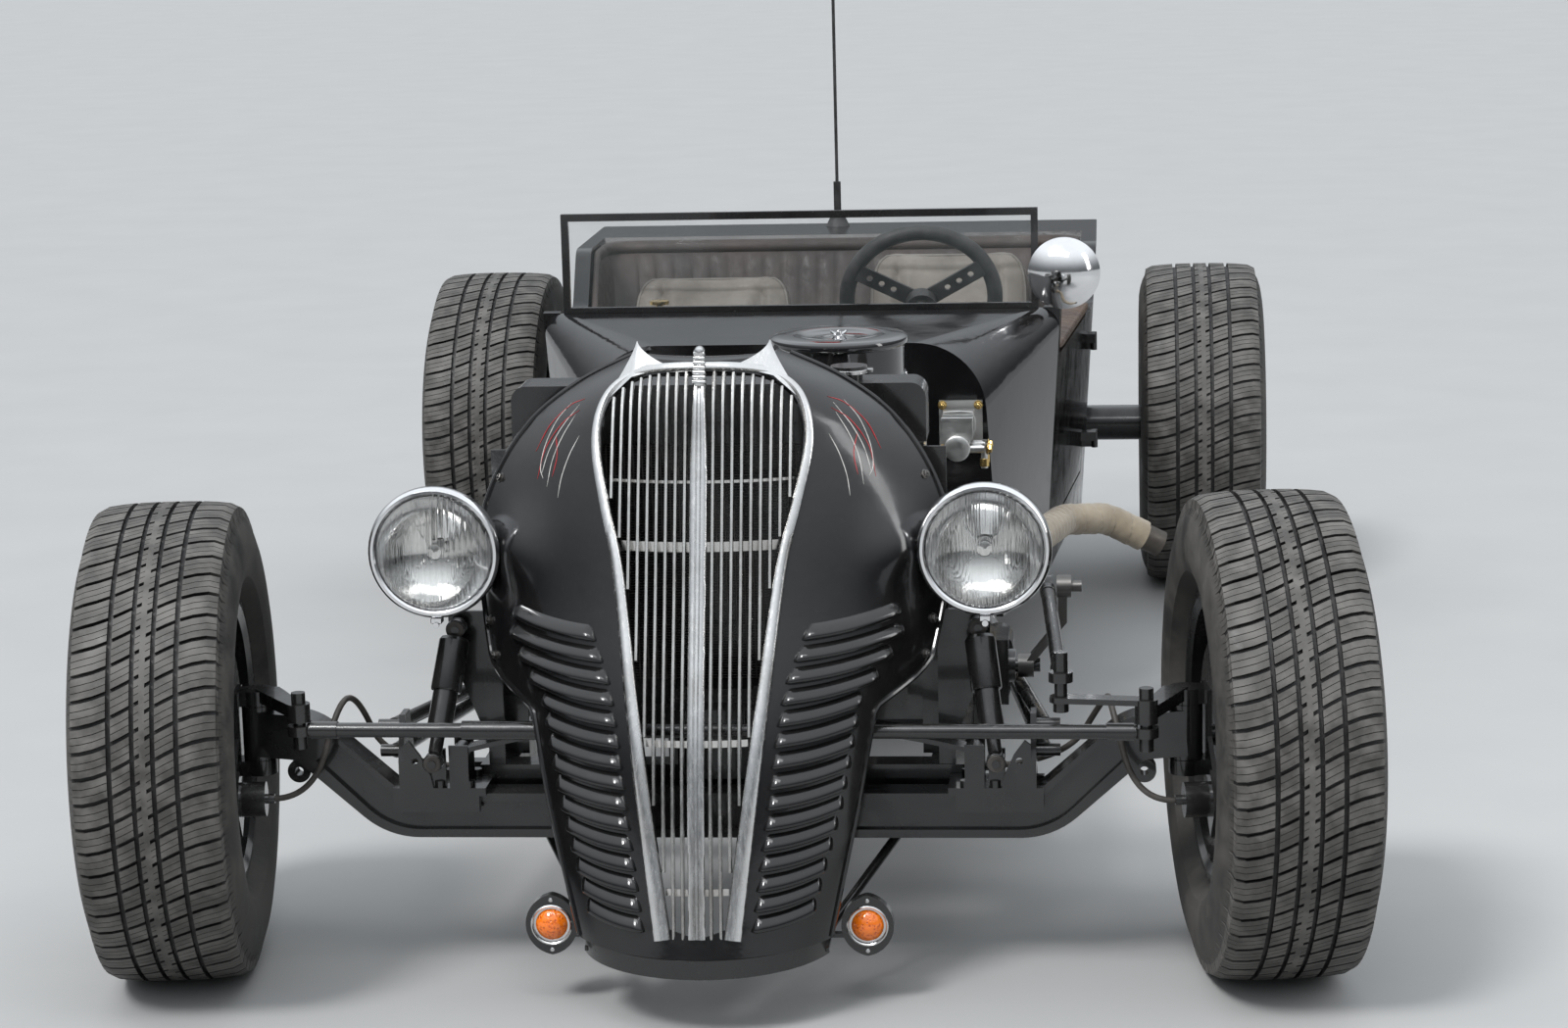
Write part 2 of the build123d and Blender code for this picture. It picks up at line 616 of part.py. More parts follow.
# Shock stud, forwards of the pads
stud_x, stud_y, stud_z = SHOCK_EYE
hardware += block(stud_x - 12, stud_x + 12, AX - 34, AX - 28, pad_z1 - 2, stud_z + 12)
hardware += rod((stud_x, AX - 30, stud_z), (stud_x, stud_y - 16, stud_z), 6)
rods = None
for z in ROD_EYE_ZS:
    front_eye = (PLATE_X + PLATE_T + 12, AX + (0 if z > 330 else 8), z)
    rear_eye = (RAIL_X + RAIL_W / 2 + 16, RADIUS_ROD_REAR_Y, 252.0)
    bar = rod(front_eye, rear_eye, RADIUS_ROD_R)
    bar += rod((PLATE_X + PLATE_T, front_eye[1], z), (PLATE_X + PLATE_T + 34, front_eye[1], z), 9)
    rods = bar if rods is None else rods + bar
rods += rod((RAIL_X + RAIL_W / 2 + GAP, RADIUS_ROD_REAR_Y, 252), (RAIL_X + RAIL_W / 2 + 34, RADIUS_ROD_REAR_Y, 252), 20)
hardware += rods
write("front_links", *both_sides(hardware))

# Transverse spring: three leaves in one arch, clamped under the cross member's perch
def leaf(half, drop, thick):
    rise = (SPRING_MID_Z - SPRING_END_Z) / SPRING_END_X ** 2
    low = SPRING_MID_Z - rise * half ** 2
    mid_x = half / 2
    arc_z = SPRING_MID_Z + drop
    under = ThreePointArc((-half, 0, low + drop), (0, 0, arc_z), (half, 0, low + drop))
    over = ThreePointArc((half, 0, low + drop + thick), (0, 0, arc_z + thick), (-half, 0, low + drop + thick))
    ends = [Line((half, 0, low + drop), (half, 0, low + drop + thick)),
            Line((-half, 0, low + drop + thick), (-half, 0, low + drop))]
    face = make_face([under, ends[0], over, ends[1]])
    return Pos(0, SPRING_Y - SPRING_W / 2, 0) * extrude(face, SPRING_W, dir=(0, 1, 0))


spring = leaf(SPRING_END_X - 12, 0, LEAF_T)
spring += leaf(SPRING_END_X * 0.72, LEAF_T, LEAF_T)
spring += leaf(SPRING_END_X * 0.42, 2 * LEAF_T, LEAF_T)
for side in (-1, 1):
    spring += Pos(side * SPRING_END_X, SPRING_Y, SPRING_END_Z) * Rot(90, 0, 0) * Cylinder(13, SPRING_W)
spring_top = SPRING_MID_Z + 3 * LEAF_T
for clamp_x in (-42, 42):
    for clamp_y in (SPRING_Y - SPRING_W / 2 - 5, SPRING_Y + SPRING_W / 2 + 5):
        spring += Pos(clamp_x, clamp_y, (SPRING_MID_Z - 14 + spring_top) / 2) * Cylinder(
            5, spring_top - SPRING_MID_Z + 14)
    spring += block(clamp_x - 10, clamp_x + 10, SPRING_Y - SPRING_W / 2 - 12, SPRING_Y + SPRING_W / 2 + 12,
                    SPRING_MID_Z - 14, SPRING_MID_Z - 1)
write("front_spring", spring)

# Dampers: two tubular shocks in front, two coil-overs behind
def shock(side):
    eye = Vector(side * SHOCK_EYE[0], SHOCK_EYE[1], SHOCK_EYE[2])
    top = Vector(side * SHOCK_TOP[0], SHOCK_TOP[1], SHOCK_TOP[2])
    along = (top - eye).normalized()
    body = rod(tuple(eye + along * 10), tuple(eye + along * 60), 9)
    body += rod(tuple(eye + along * 42), tuple(eye + along * 120), SHOCK_R)
    body += rod(tuple(eye + along * 100), tuple(top - along * 14), SHOCK_BODY_R)
    body += Pos(*eye) * Rot(90, 0, 0) * Cylinder(14, 22)
    body += Pos(*top) * Rot(90, 0, 0) * Cylinder(14, 22)
    return body - Pos(*eye) * Rot(90, 0, 0) * Cylinder(6 + GAP, 60) - Pos(*top) * Rot(90, 0, 0) * Cylinder(6 + GAP, 60)


COILOVER_X = 425.0
COILOVER_LOW = (AX + 2762.0, 300.0)
COILOVER_TOP = (AX + 2800.0, 500.0)


def coilover(side):
    low = Vector(side * COILOVER_X, *COILOVER_LOW)
    top = Vector(side * COILOVER_X, *COILOVER_TOP)
    along = (top - low).normalized()
    body = rod(tuple(low + along * 6), tuple(low + along * 48), 11)
    body += rod(tuple(low + along * 44), tuple(top - along * 10), 17)
    for step in range(6):
        at = low + along * (52 + 20 * step)
        ring = Plane(origin=at, z_dir=along).location * Torus(23, 7)
        body += ring
    body += rod(tuple(low + along * 44), tuple(low + along * 52), 38)
    body += rod(tuple(top - along * 40), tuple(top - along * 30), 38)
    for end in (low, top):
        body += Pos(*end) * Rot(0, 90, 0) * Cylinder(13, 26)
        body -= Pos(*end) * Rot(0, 90, 0) * Cylinder(6 + GAP, 60)
    return body


# Frame rails with a rear kick-up
def rail(side):
    low = RAIL_BOTTOM_Z
    high = RAIL_TOP_Z
    outline = [
        (RAIL_FRONT_Y, low), (KICK_Y, low), (KICK_Y + KICK_RUN, low + KICK_RISE),
        (RAIL_REAR_Y, low + KICK_RISE), (RAIL_REAR_Y, high + KICK_RISE - 20),
        (KICK_Y + KICK_RUN - 30, high + KICK_RISE - 20), (KICK_Y - 36, high), (RAIL_FRONT_Y, high),
    ]
    x0 = side * RAIL_X - RAIL_W / 2
    return side_plate(outline, x0, x0 + RAIL_W)


def side_rail(side):
    """Rail with its shock tower, the gland of the brake hose and the upper pin of the coil-over."""
    shape = rail(side)
    tx, ty, tz = SHOCK_TOP
    foot_in = side * (RAIL_X - 12)
    foot_out = side * (RAIL_X + 12)
    top_out = side * (tx + 16)
    tower = [(foot_in, 290), (foot_in, tz + 20), (top_out, tz + 20), (top_out, tz - 40), (foot_out, 330), (foot_out, 290)]
    shape += front_plate(tower, AX + 44, AX + 52)
    shape += rod((side * tx, ty - 15, tz), (side * tx, AX + 50, tz), 6)
    x0, x1 = sorted((side * (RAIL_X + RAIL_W / 2 - 1), side * (RAIL_X + RAIL_W / 2 + 20)))
    shape += block(x0, x1, AX + 58, AX + 82, 268, 295)
    shape += rod((side * 370, AX + 70, 285), (side * HOSE_GLAND_X, AX + 70, 285), 7)
    shape += rod((side * (RAIL_X + 20), *COILOVER_TOP), (side * (COILOVER_X + 18), *COILOVER_TOP), 6)
    return shape


write("rail_left", side_rail(1))
write("rail_right", side_rail(-1))

# Cross members between the rails; the front one has struts and the perch that carries the spring
inner = RAIL_X - RAIL_W / 2
perch_z = spring_top + GAP
front_member = block(-inner, inner, RAIL_FRONT_Y, RAIL_FRONT_Y + 45, RAIL_BOTTOM_Z, RAIL_TOP_Z)
front_member += block(-60, 60, AX - 48, AX + 30, perch_z, perch_z + 12)
for strut_x in (-54, 54):
    front_member += block(strut_x - 6, strut_x + 6, AX + 28, RAIL_FRONT_Y + 30, 290, perch_z + 6)
front_member += block(-60, 60, AX + 18, AX + 30, RAIL_TOP_Z - 15, perch_z + 12)
front_member += block(-60, 60, AX + 28, RAIL_FRONT_Y + 5, RAIL_TOP_Z - 15, RAIL_TOP_Z)
gearbox_member = block(-inner, inner, AX + 1285, AX + 1335, 160, 200)
for x0, x1 in ((-inner, -inner + 41), (inner - 41, inner)):
    gearbox_member += block(x0, x1, AX + 1285, AX + 1335, 160, 260)
floor_member = block(-inner, inner, AX + 1700, AX + 1750, RAIL_BOTTOM_Z, RAIL_BOTTOM_Z + 40)
seat_member = block(-inner, inner, AX + 2400, AX + 2450, RAIL_BOTTOM_Z, RAIL_BOTTOM_Z + 40)
rear_member = block(-inner, inner, AX + 2850, AX + 2894, 478, 528)
write("cross_members", front_member, gearbox_member, floor_member, seat_member, rear_member)

# Rear axle with differential, drive shaft and brake backing flanges
rear_z = REAR_TYRE_R
axle_half = REAR_TRACK / 2 - 60
axle = rod((-axle_half, REAR_AXLE_Y, rear_z), (axle_half, REAR_AXLE_Y, rear_z), REAR_TUBE_R)
axle += Pos(0, REAR_AXLE_Y, rear_z) * Sphere(DIFF_R)
axle += cone((0, REAR_AXLE_Y - 60, rear_z), (0, REAR_AXLE_Y - 200, rear_z - 18), 95, 42)
for side in (-1, 1):
    axle += rod((side * axle_half, REAR_AXLE_Y, rear_z), (side * (axle_half - 10), REAR_AXLE_Y, rear_z), 75)
    axle += rod((side * axle_half, REAR_AXLE_Y, rear_z), (side * (REAR_TRACK / 2 - 8), REAR_AXLE_Y, rear_z), SPINDLE_R)
    x = side * COILOVER_X
    axle += side_plate(
        [(REAR_AXLE_Y + 20, rear_z - 30), (REAR_AXLE_Y + 20, rear_z - 6), (COILOVER_LOW[0] + 14, 312),
         (COILOVER_LOW[0] + 14, 288)], x + 15, x + 21)
    axle += rod((x - 16, COILOVER_LOW[0], COILOVER_LOW[1]), (x + 20, COILOVER_LOW[0], COILOVER_LOW[1]), 6)
SHAFT_FRONT_Y = AX + 1660.0
SHAFT_R = 38.0
axle += rod((0, REAR_AXLE_Y - 190, rear_z - 20), (0, SHAFT_FRONT_Y + 30, CRANK_Z), SHAFT_R - 4)
axle += rod((0, SHAFT_FRONT_Y, CRANK_Z), (0, SHAFT_FRONT_Y + 60, CRANK_Z), SHAFT_R)
write("rear_axle", axle)
dampers = [shock(1), shock(-1), coilover(1), coilover(-1)]
write("dampers", *dampers)

# Trailing links from the axle to the rails
LINK_FRONT_Y = AX + 2050.0
LINK_X = 380.0
link = rod((LINK_X, LINK_FRONT_Y, 250), (LINK_X, REAR_AXLE_Y - 50, 286), 12)
link += rod((RAIL_X + RAIL_W / 2 + GAP, LINK_FRONT_Y, 250), (LINK_X + 14, LINK_FRONT_Y, 250), 16)
link += side_plate(
    [(REAR_AXLE_Y - 66, 272), (REAR_AXLE_Y - 66, 310), (REAR_AXLE_Y - REAR_TUBE_R - 8, 370),
     (REAR_AXLE_Y + 10, 388), (REAR_AXLE_Y + 30, 384), (REAR_AXLE_Y + 10, 290)], LINK_X - 4, LINK_X + 4,
) - rod((LINK_X - 20, REAR_AXLE_Y, rear_z), (LINK_X + 20, REAR_AXLE_Y, rear_z), REAR_TUBE_R + GAP)
write("rear_links", *both_sides(link))

# Engine: plain block with sump, bell housing and gearbox
engine = block(-BLOCK_HALF, BLOCK_HALF, ENGINE_FRONT_Y, ENGINE_REAR_Y, BLOCK_BOTTOM_Z, BLOCK_TOP_Z)
sump = front_plate([(-95, 150), (95, 150), (BLOCK_HALF, 205), (-BLOCK_HALF, 205)], ENGINE_FRONT_Y + 90, ENGINE_REAR_Y - 60)
engine += sump
bell = cone((0, ENGINE_REAR_Y - 1, CRANK_Z), (0, FIREWALL_Y - 12, CRANK_Z), 130, 90)
engine += bell
engine += rod((0, FIREWALL_Y - 20, CRANK_Z), (0, SHAFT_FRONT_Y - 60, CRANK_Z), 82)
engine += rod((0, SHAFT_FRONT_Y - 61, CRANK_Z), (0, SHAFT_FRONT_Y - GAP, CRANK_Z), 45)
engine += block(-30, 30, AX + 1290, AX + 1330, 200 + GAP, 225)
engine += block(-200, 200, ENGINE_FRONT_Y + 60, ENGINE_FRONT_Y + 110, 270, 300)
for side in (-1, 1):
    mount_x0 = min(side * 195, side * (RAIL_X - RAIL_W / 2 - GAP))
    mount_x1 = max(side * 195, side * (RAIL_X - RAIL_W / 2 - GAP))
    engine += block(mount_x0, mount_x1, ENGINE_FRONT_Y + 60, ENGINE_FRONT_Y + 110, 262, 308)
write("engine_block", engine)

head = block(-BLOCK_HALF + 10, BLOCK_HALF - 5, ENGINE_FRONT_Y + 6, ENGINE_REAR_Y - 6, BLOCK_TOP_Z, HEAD_TOP_Z)
cover = block(-85, 60, ENGINE_FRONT_Y + 20, ENGINE_REAR_Y - 20, HEAD_TOP_Z, ROCKER_TOP_Z)
cover = fillet(cover.edges().filter_by(Axis.Y).group_by(Axis.Z)[-1], 26)
cover = fillet(cover.edges().filter_by(Axis.Z), 24)
write("cylinder_head", head + cover)

# Intake manifold and carburettor on the engine's left side
side_x = BLOCK_HALF - 5 + GAP
intake = block(side_x, side_x + 10, ENGINE_FRONT_Y + 60, ENGINE_REAR_Y - 60, 585, 632)
for port_y in (CARB_Y - 200, CARB_Y, CARB_Y + 200):
    intake += rod((side_x + 9, port_y, 610), (CARB_X + 12, port_y, 622), 16)
intake += rod((CARB_X + 12, CARB_Y - 215, 622), (CARB_X + 12, CARB_Y + 215, 622), 22)
intake += rod((CARB_X + 10, CARB_Y, 622), (CARB_X + 10, CARB_Y, 664), 30)
intake += block(CARB_X - 42, CARB_X + 42, CARB_Y - 50, CARB_Y + 50, 660, 716)
intake += rod((CARB_X, CARB_Y, 714), (CARB_X, CARB_Y, AIR_BOTTOM_Z - GAP), 36)
write("intake", intake)

# Air cleaner: drum with a lipped lid and wing nut
drum = Pos(CARB_X, CARB_Y, (AIR_BOTTOM_Z + AIR_TOP_Z) / 2) * Cylinder(AIR_R, AIR_TOP_Z - AIR_BOTTOM_Z)
drum -= Pos(CARB_X, CARB_Y, AIR_TOP_Z - 3) * Cylinder(AIR_R - 5, 6.01)
drum += Pos(CARB_X, CARB_Y, AIR_TOP_Z - 5) * Cylinder(AIR_R - 22, 8)
drum += Pos(CARB_X, CARB_Y, AIR_TOP_Z + 2) * Cylinder(5, 16)
write("air_cleaner", drum)

# Front drive: crank and pump pulleys, belt and fan
FAN_Y = AX + 240.0
PUMP_Z = 470.0
drive = rod((0, ENGINE_FRONT_Y - 40, CRANK_Z), (0, ENGINE_FRONT_Y - 12, CRANK_Z), 85)
drive += rod((0, ENGINE_FRONT_Y - 20, CRANK_Z), (0, ENGINE_FRONT_Y - GAP, CRANK_Z), 25)
drive += rod((0, ENGINE_FRONT_Y - 40, PUMP_Z), (0, ENGINE_FRONT_Y - 12, PUMP_Z), 62)
drive += rod((0, FAN_Y, PUMP_Z), (0, ENGINE_FRONT_Y - GAP, PUMP_Z), 22)
drive += front_plate([(-84, CRANK_Z), (-62, PUMP_Z), (-52, PUMP_Z), (-74, CRANK_Z)],
                     ENGINE_FRONT_Y - 32, ENGINE_FRONT_Y - 20)
drive += front_plate([(84, CRANK_Z), (62, PUMP_Z), (52, PUMP_Z), (74, CRANK_Z)],
                     ENGINE_FRONT_Y - 32, ENGINE_FRONT_Y - 20)
for i in range(5):
    blade = Pos(0, FAN_Y + 8, 110) * Rot(0, 0, 28) * Box(62, 3, 180)
    drive += Pos(0, 0, PUMP_Z) * Rot(0, 72 * i, 0) * blade
write("front_drive", drive)

# Exhaust: six ports, primaries into one collector, then a wrapped pipe out of the left side
PIPE_R = 24.0
WRAP_T = 5.0
header = block(BLOCK_HALF + GAP, BLOCK_HALF + 10, ENGINE_FRONT_Y + 50, ENGINE_REAR_Y - 50, 470, 530)
header += rod((BLOCK_HALF + 40, ENGINE_FRONT_Y + 70, 490), (BLOCK_HALF + 40, ENGINE_REAR_Y - 90, 470), 24)
for i in range(6):
    port_y = ENGINE_FRONT_Y + 80 + 108 * i
    header += rod((BLOCK_HALF + 17, port_y, 497), (BLOCK_HALF + 40, port_y, 486 - 3 * i), 17)
PIPE_POINTS = [
    (BLOCK_HALF + 40, ENGINE_REAR_Y - 100, 470), (BLOCK_HALF + 70, AX + 1020, 420), (300, AX + 1090, 392),
    (425, AX + 1175, 385), (482, AX + 1400, 385), (560, AX + 1475, 372), (660, AX + 1500, 318),
]
PIPE_RADII = [40, 55, 80, 70, 60]
header += bent_tube(PIPE_POINTS, PIPE_RADII, PIPE_R)
pipe_path = FilletPolyline(*PIPE_POINTS, radius=PIPE_RADII)
write("exhaust_header", header)
wrap_path = pipe_path.trim(0.2, 0.965)
wrap_plane = Plane(origin=wrap_path @ 0, z_dir=wrap_path % 0)
wrap = sweep(wrap_plane * Circle(PIPE_R + WRAP_T), wrap_path)
wrap -= bent_tube(PIPE_POINTS, PIPE_RADII, PIPE_R + GAP)
write("exhaust_wrap", wrap)

# Radiator with tanks, side channels, uprights and cap
rad = block(-CORE_HALF, CORE_HALF, RAD_Y, RAD_Y + RAD_T, CORE_BOTTOM_Z, TANK_BOTTOM_Z)
tank = block(-TANK_HALF, TANK_HALF, RAD_Y - 5, RAD_Y + 75, TANK_BOTTOM_Z, TANK_TOP_Z)
tank = fillet(tank.edges().filter_by(Axis.Y).group_by(Axis.Z)[-1], 22)
rad += tank
rad += block(-TANK_HALF + 10, TANK_HALF - 10, RAD_Y, RAD_Y + 60, CORE_BOTTOM_Z - 60, CORE_BOTTOM_Z)
for side in (-1, 1):
    x0, x1 = sorted((side * CORE_HALF, side * (TANK_HALF - 3)))
    rad += block(x0, x1, RAD_Y - 19, RAD_Y + RAD_T, CORE_BOTTOM_Z - 50, TANK_BOTTOM_Z)
    x0, x1 = sorted((side * 292, side * 332))
    upright = block(x0, x1, RAD_Y - 25, RAD_Y - 19, RAIL_TOP_Z + GAP, TANK_BOTTOM_Z - 4)
    upright -= block(side * 314 - 8, side * 314 + 8, RAD_Y - 30, RAD_Y - 10, 694, 702)
    rad += upright
CAP_X = 190.0
rad += Pos(CAP_X, RAD_Y + 35, TANK_TOP_Z + 6) * Cylinder(20, 14)
rad += Pos(CAP_X, RAD_Y + 35, TANK_TOP_Z + 16) * Cylinder(27, 8)
HOSE_R = 19.0
rad += rod((120, RAD_Y + 70, 800), (120, RAD_Y + 95, 800), 16)
write("radiator", rad)
hose_points = [(120, RAD_Y + 76, 800), (120, RAD_Y + 150, 800), (40, ENGINE_FRONT_Y - 10, 730),
               (20, ENGINE_FRONT_Y + 34, 655)]
hose = bent_tube(hose_points, [30, 30], HOSE_R)
hose -= rod((120, RAD_Y + 60, 800), (120, RAD_Y + 95 + GAP, 800), 16 + GAP)
hose -= block(-200, 200, ENGINE_FRONT_Y + 6 - GAP, ENGINE_FRONT_Y + 200, 500, HEAD_TOP_Z + GAP)
hose -= block(-200, 200, ENGINE_FRONT_Y + 20 - GAP, ENGINE_FRONT_Y + 200, 500, ROCKER_TOP_Z)
write("radiator_hose", hose)


# Grille shell

def shell_form(grow, back):
    """Solid within the shell's outer face, grown by so much, up to a level y plane behind."""
    sections = []
    for z, half, nose, edge in SHELL_ROWS:
        level = z + grow if z == SHELL_ROWS[-1][0] else z
        wide = half + grow
        front = AX + nose - grow
        rear = AX + edge
        end = AX + back
        arc = ThreePointArc((-wide, rear, level), (0, front, level), (wide, rear, level))
        legs = Polyline((wide, rear, level), (wide, end, level), (-wide, end, level), (-wide, rear, level))
        sections.append(make_face([arc, legs]))
    return loft(sections, ruled=True)


def shell_layer(out, inn):
    return shell_form(out, 110) - shell_form(inn, 140)


def front_prism(face):
    return extrude(face, 600, dir=(0, 1, 0))


def opening_face(grow, bottom):
    """Outline of the grille opening, seen from the front."""
    y = AX - 400
    foot = 37 + grow
    knee = 106 + grow
    hip = 142 + grow
    top = 884 + grow
    right = Polyline((foot, y, bottom), (knee, y, 630), (hip, y, 790))
    right_arc = ThreePointArc((hip, y, 790), (127 + grow * 0.8, y, 848 + grow * 0.6), (72, y, top - 7))
    crown = ThreePointArc((72, y, top - 7), (0, y, top), (-72, y, top - 7))
    left_arc = ThreePointArc((-72, y, top - 7), (-127 - grow * 0.8, y, 848 + grow * 0.6), (-hip, y, 790))
    left = Polyline((-hip, y, 790), (-knee, y, 630), (-foot, y, bottom), (foot, y, bottom))
    return make_face([right, right_arc, crown, left_arc, left])


OPENING_BOTTOM_Z = 142.0
opening = front_prism(opening_face(0, OPENING_BOTTOM_Z))
side_cut = front_plate(
    [(168, 80), (216, 300), (240, 430), (300, 462), (324, 490), (331, 520), (600, 520), (600, 80)],
    AX - 400, AX + 200,
)
side_cuts = side_cut + mirror(side_cut, about=Plane.YZ)
back_edge = [(AX + edge + 3, z) for z, half, nose, edge in SHELL_ROWS]
back_cut = side_plate(
    [(AX - 187, 90)] + back_edge + [(AX + 83, 960), (AX + 300, 960), (AX + 300, 90)], -500, 500)
shell = shell_layer(0, -SHELL_WALL) - back_cut - opening - side_cuts
write("grille_shell", shell)

def along(table, at):
    """Value at a place, straight between the rows of a table of (place, value)."""
    for (a0, v0), (a1, v1) in zip(table, table[1:]):
        if at <= a1:
            return v0 + (v1 - v0) * (at - a0) / (a1 - a0)
    return table[-1][1]


def shell_front(x, z):
    """Y of the shell's outer face at a place seen from the front."""
    half = along([(row[0], row[1]) for row in SHELL_ROWS], z)
    nose = along([(row[0], row[2]) for row in SHELL_ROWS], z)
    edge = along([(row[0], row[3]) for row in SHELL_ROWS], z)
    r = (half ** 2 + (edge - nose) ** 2) / (2 * (edge - nose))
    return AX + nose + r - sqrt(r ** 2 - x ** 2)


# Bars, shorter towards the sides, on curved braces behind
OPENING_EDGE = ((37.0, 142.0), (106.0, 630.0), (142.0, 790.0))
OPENING_ARCH = ((0.0, 884.0), (72.0, 877.0), (101.0, 866.0), (127.0, 848.0), (138.0, 820.0), (142.0, 790.0))
bars = Part()
for i in range(BAR_COUNT):
    x = BAR_FIRST_X + BAR_PITCH * i
    reach = x + BAR_W / 2 + 1
    low = OPENING_BOTTOM_Z + GAP if reach < 37 else along(OPENING_EDGE, reach)
    top = along(OPENING_ARCH, reach) - 1
    levels = [low] + [row[0] for row in SHELL_ROWS if low < row[0] < top] + [top]
    front = [(shell_front(x, z) + 1, z) for z in levels]
    back = [(y + BAR_DEPTH + 3, z) for y, z in reversed(front)]
    bars += side_plate(front + back, x - BAR_W / 2, x + BAR_W / 2)
brace_layer = shell_layer(-SHELL_WALL - GAP, -SHELL_WALL - 5)
for z, height, half in ((745, 6, 155), (655, 14, 130), (400, 10, 95), (200, 10, 62)):
    brace = brace_layer & block(0, half, AX - 400, AX + 100, z, z + height)
    bars += brace
bars += mirror(bars, about=Plane.YZ)
write("grille_bars", bars)

# Chrome surround, centre bar, ribbed ornament and two caps
trim_layer = shell_layer(TRIM_PROUD, GAP)
band = front_prism(opening_face(19, OPENING_BOTTOM_Z)) - opening
trim = trim_layer & band
centre_zone = block(-CENTRE_BAR_HALF, CENTRE_BAR_HALF, AX - 400, AX + 60, OPENING_BOTTOM_Z + GAP, 884 - 1)
trim += shell_layer(TRIM_PROUD, GAP - SHELL_WALL) & centre_zone
trim += trim_layer & block(-CENTRE_BAR_HALF, CENTRE_BAR_HALF, AX - 400, AX + 40, OPENING_BOTTOM_Z, 940)
cap_layer = shell_layer(12, GAP)
trim += cap_layer & block(-8, 8, AX - 400, AX + 40, 840, 960)
cap_zone = front_plate([(30, 888), (70, 960), (125, 960), (118, 868)], AX - 400, AX - 40)
caps = cap_layer & cap_zone
trim += caps
trim += mirror(caps, about=Plane.YZ)
write("grille_trim", trim)


# Louvres: raised slats in two horn-shaped panels
LOUVRE_INNER = ((140, 72), (390, 104), (470, 118), (550, 150), (600, 185))
LOUVRE_OUTER = ((140, 150), (300, 196), (437, 224), (480, 258), (520, 280), (560, 272), (620, 240))
louvre_layer = shell_layer(LOUVRE_PROUD, GAP)
LOUVRE_FIRST_Z = 148.0
LOUVRE_PITCH = 27.4
slats = []
for i in range(LOUVRE_COUNT):
    z_in = LOUVRE_FIRST_Z + LOUVRE_PITCH * i
    x_in = along(LOUVRE_INNER, z_in)
    z_out = z_in + 16
    x_out = along(LOUVRE_OUTER, z_out)
    x_mid = (x_in + x_out) / 2
    y = AX - 400
    low = ThreePointArc((x_in, y, z_in), (x_mid, y, z_in + 4), (x_out, y, z_out))
    high = ThreePointArc((x_out, y, z_out + LOUVRE_H), (x_mid, y, z_in + 4 + LOUVRE_H), (x_in, y, z_in + LOUVRE_H))
    outer_end = Line((x_out, y, z_out), (x_out, y, z_out + LOUVRE_H))
    inner_end = Line((x_in, y, z_in + LOUVRE_H), (x_in, y, z_in))
    slats.append(extrude(make_face([low, outer_end, high, inner_end]), 430, dir=(0, 1, 0)))
slats = louvre_layer & (Part() + slats)
slats = slats - back_cut
write("louvres", *both_sides(slats))

# Bottom band of the shell with the signal brackets and the stays to the frame
strip_low = extrude(make_face([
    ThreePointArc((-172, AX - 196, 114 - 26), (0, AX - 319, 114 - 26), (172, AX - 196, 114 - 26)),
    Polyline((172, AX - 196, 114 - 26), (164, AX - 188, 114 - 26)),
    ThreePointArc((164, AX - 188, 114 - 26), (0, AX - 305, 114 - 26), (-164, AX - 188, 114 - 26)),
    Polyline((-164, AX - 188, 114 - 26), (-172, AX - 196, 114 - 26)),
]), 27 - GAP, dir=(0, 0, 1))
for side in (-1, 1):
    x0, x1 = sorted((side * 150, side * (SIGNAL_X + 10)))
    strip_low += block(x0, x1, SIGNAL_Y + 10, SIGNAL_Y + 22, 92, 98)
    strip_low += block(*sorted((side * 150, side * 172)), AX - 205, SIGNAL_Y + 22, 92, 98)
    strip_low += rod((side * 160, SIGNAL_Y + 14, 95), (side * 270, AX + 64, 204), 7)
    strip_low += Pos(side * 270, AX + 64, 208) * Cylinder(11, 13.4)
write("shell_band", strip_low)

# Headlamps: bowl, rim and stem
bowls = []
lenses = []
for side in (-1, 1):
    face_y = LAMP_Y - 38
    outline = Polyline(
        (0, face_y + 8), (LAMP_LENS_R, face_y + 8), (LAMP_LENS_R, face_y), (LAMP_R - 3, face_y),
        (LAMP_R, face_y + 6), (LAMP_R, face_y + 20), (LAMP_R - 6, face_y + 24))
    back = dome(LAMP_R - 6, face_y + 24, LAMP_DEPTH - 24)
    close_line = Line((0, face_y + LAMP_DEPTH), (0, face_y + 8))
    bowl_face = make_face([outline, back, close_line])
    bowl = revolve(bowl_face, Axis.Y, 360)
    stem = rod((-66 * side, LAMP_Y + 22, 0), (-142 * side, LAMP_Y + 22, 0), 12)
    stem += rod((-96 * side, LAMP_Y + 22, 0), (-116 * side, LAMP_Y + 22, 0), 18)
    lamp = Pos(side * LAMP_X, 0, LAMP_Z) * (bowl + stem)
    lamp -= shell_form(GAP, 110)
    bowls.append(lamp.solids().sort_by(SortBy.VOLUME)[-1])
    lens_face = make_face([
        Polyline((0, face_y + 8 - GAP), (LAMP_LENS_R - GAP, face_y + 8 - GAP), (LAMP_LENS_R - GAP, face_y + 2)),
        dome(LAMP_LENS_R - GAP, face_y + 2, -11),
        Line((0, face_y - 9), (0, face_y + 8 - GAP)),
    ])
    lens = Pos(side * LAMP_X, 0, LAMP_Z) * revolve(lens_face, Axis.Y, 360)
    lenses.append(lens)
write("headlamps", *bowls)
write("headlamp_lenses", *lenses)

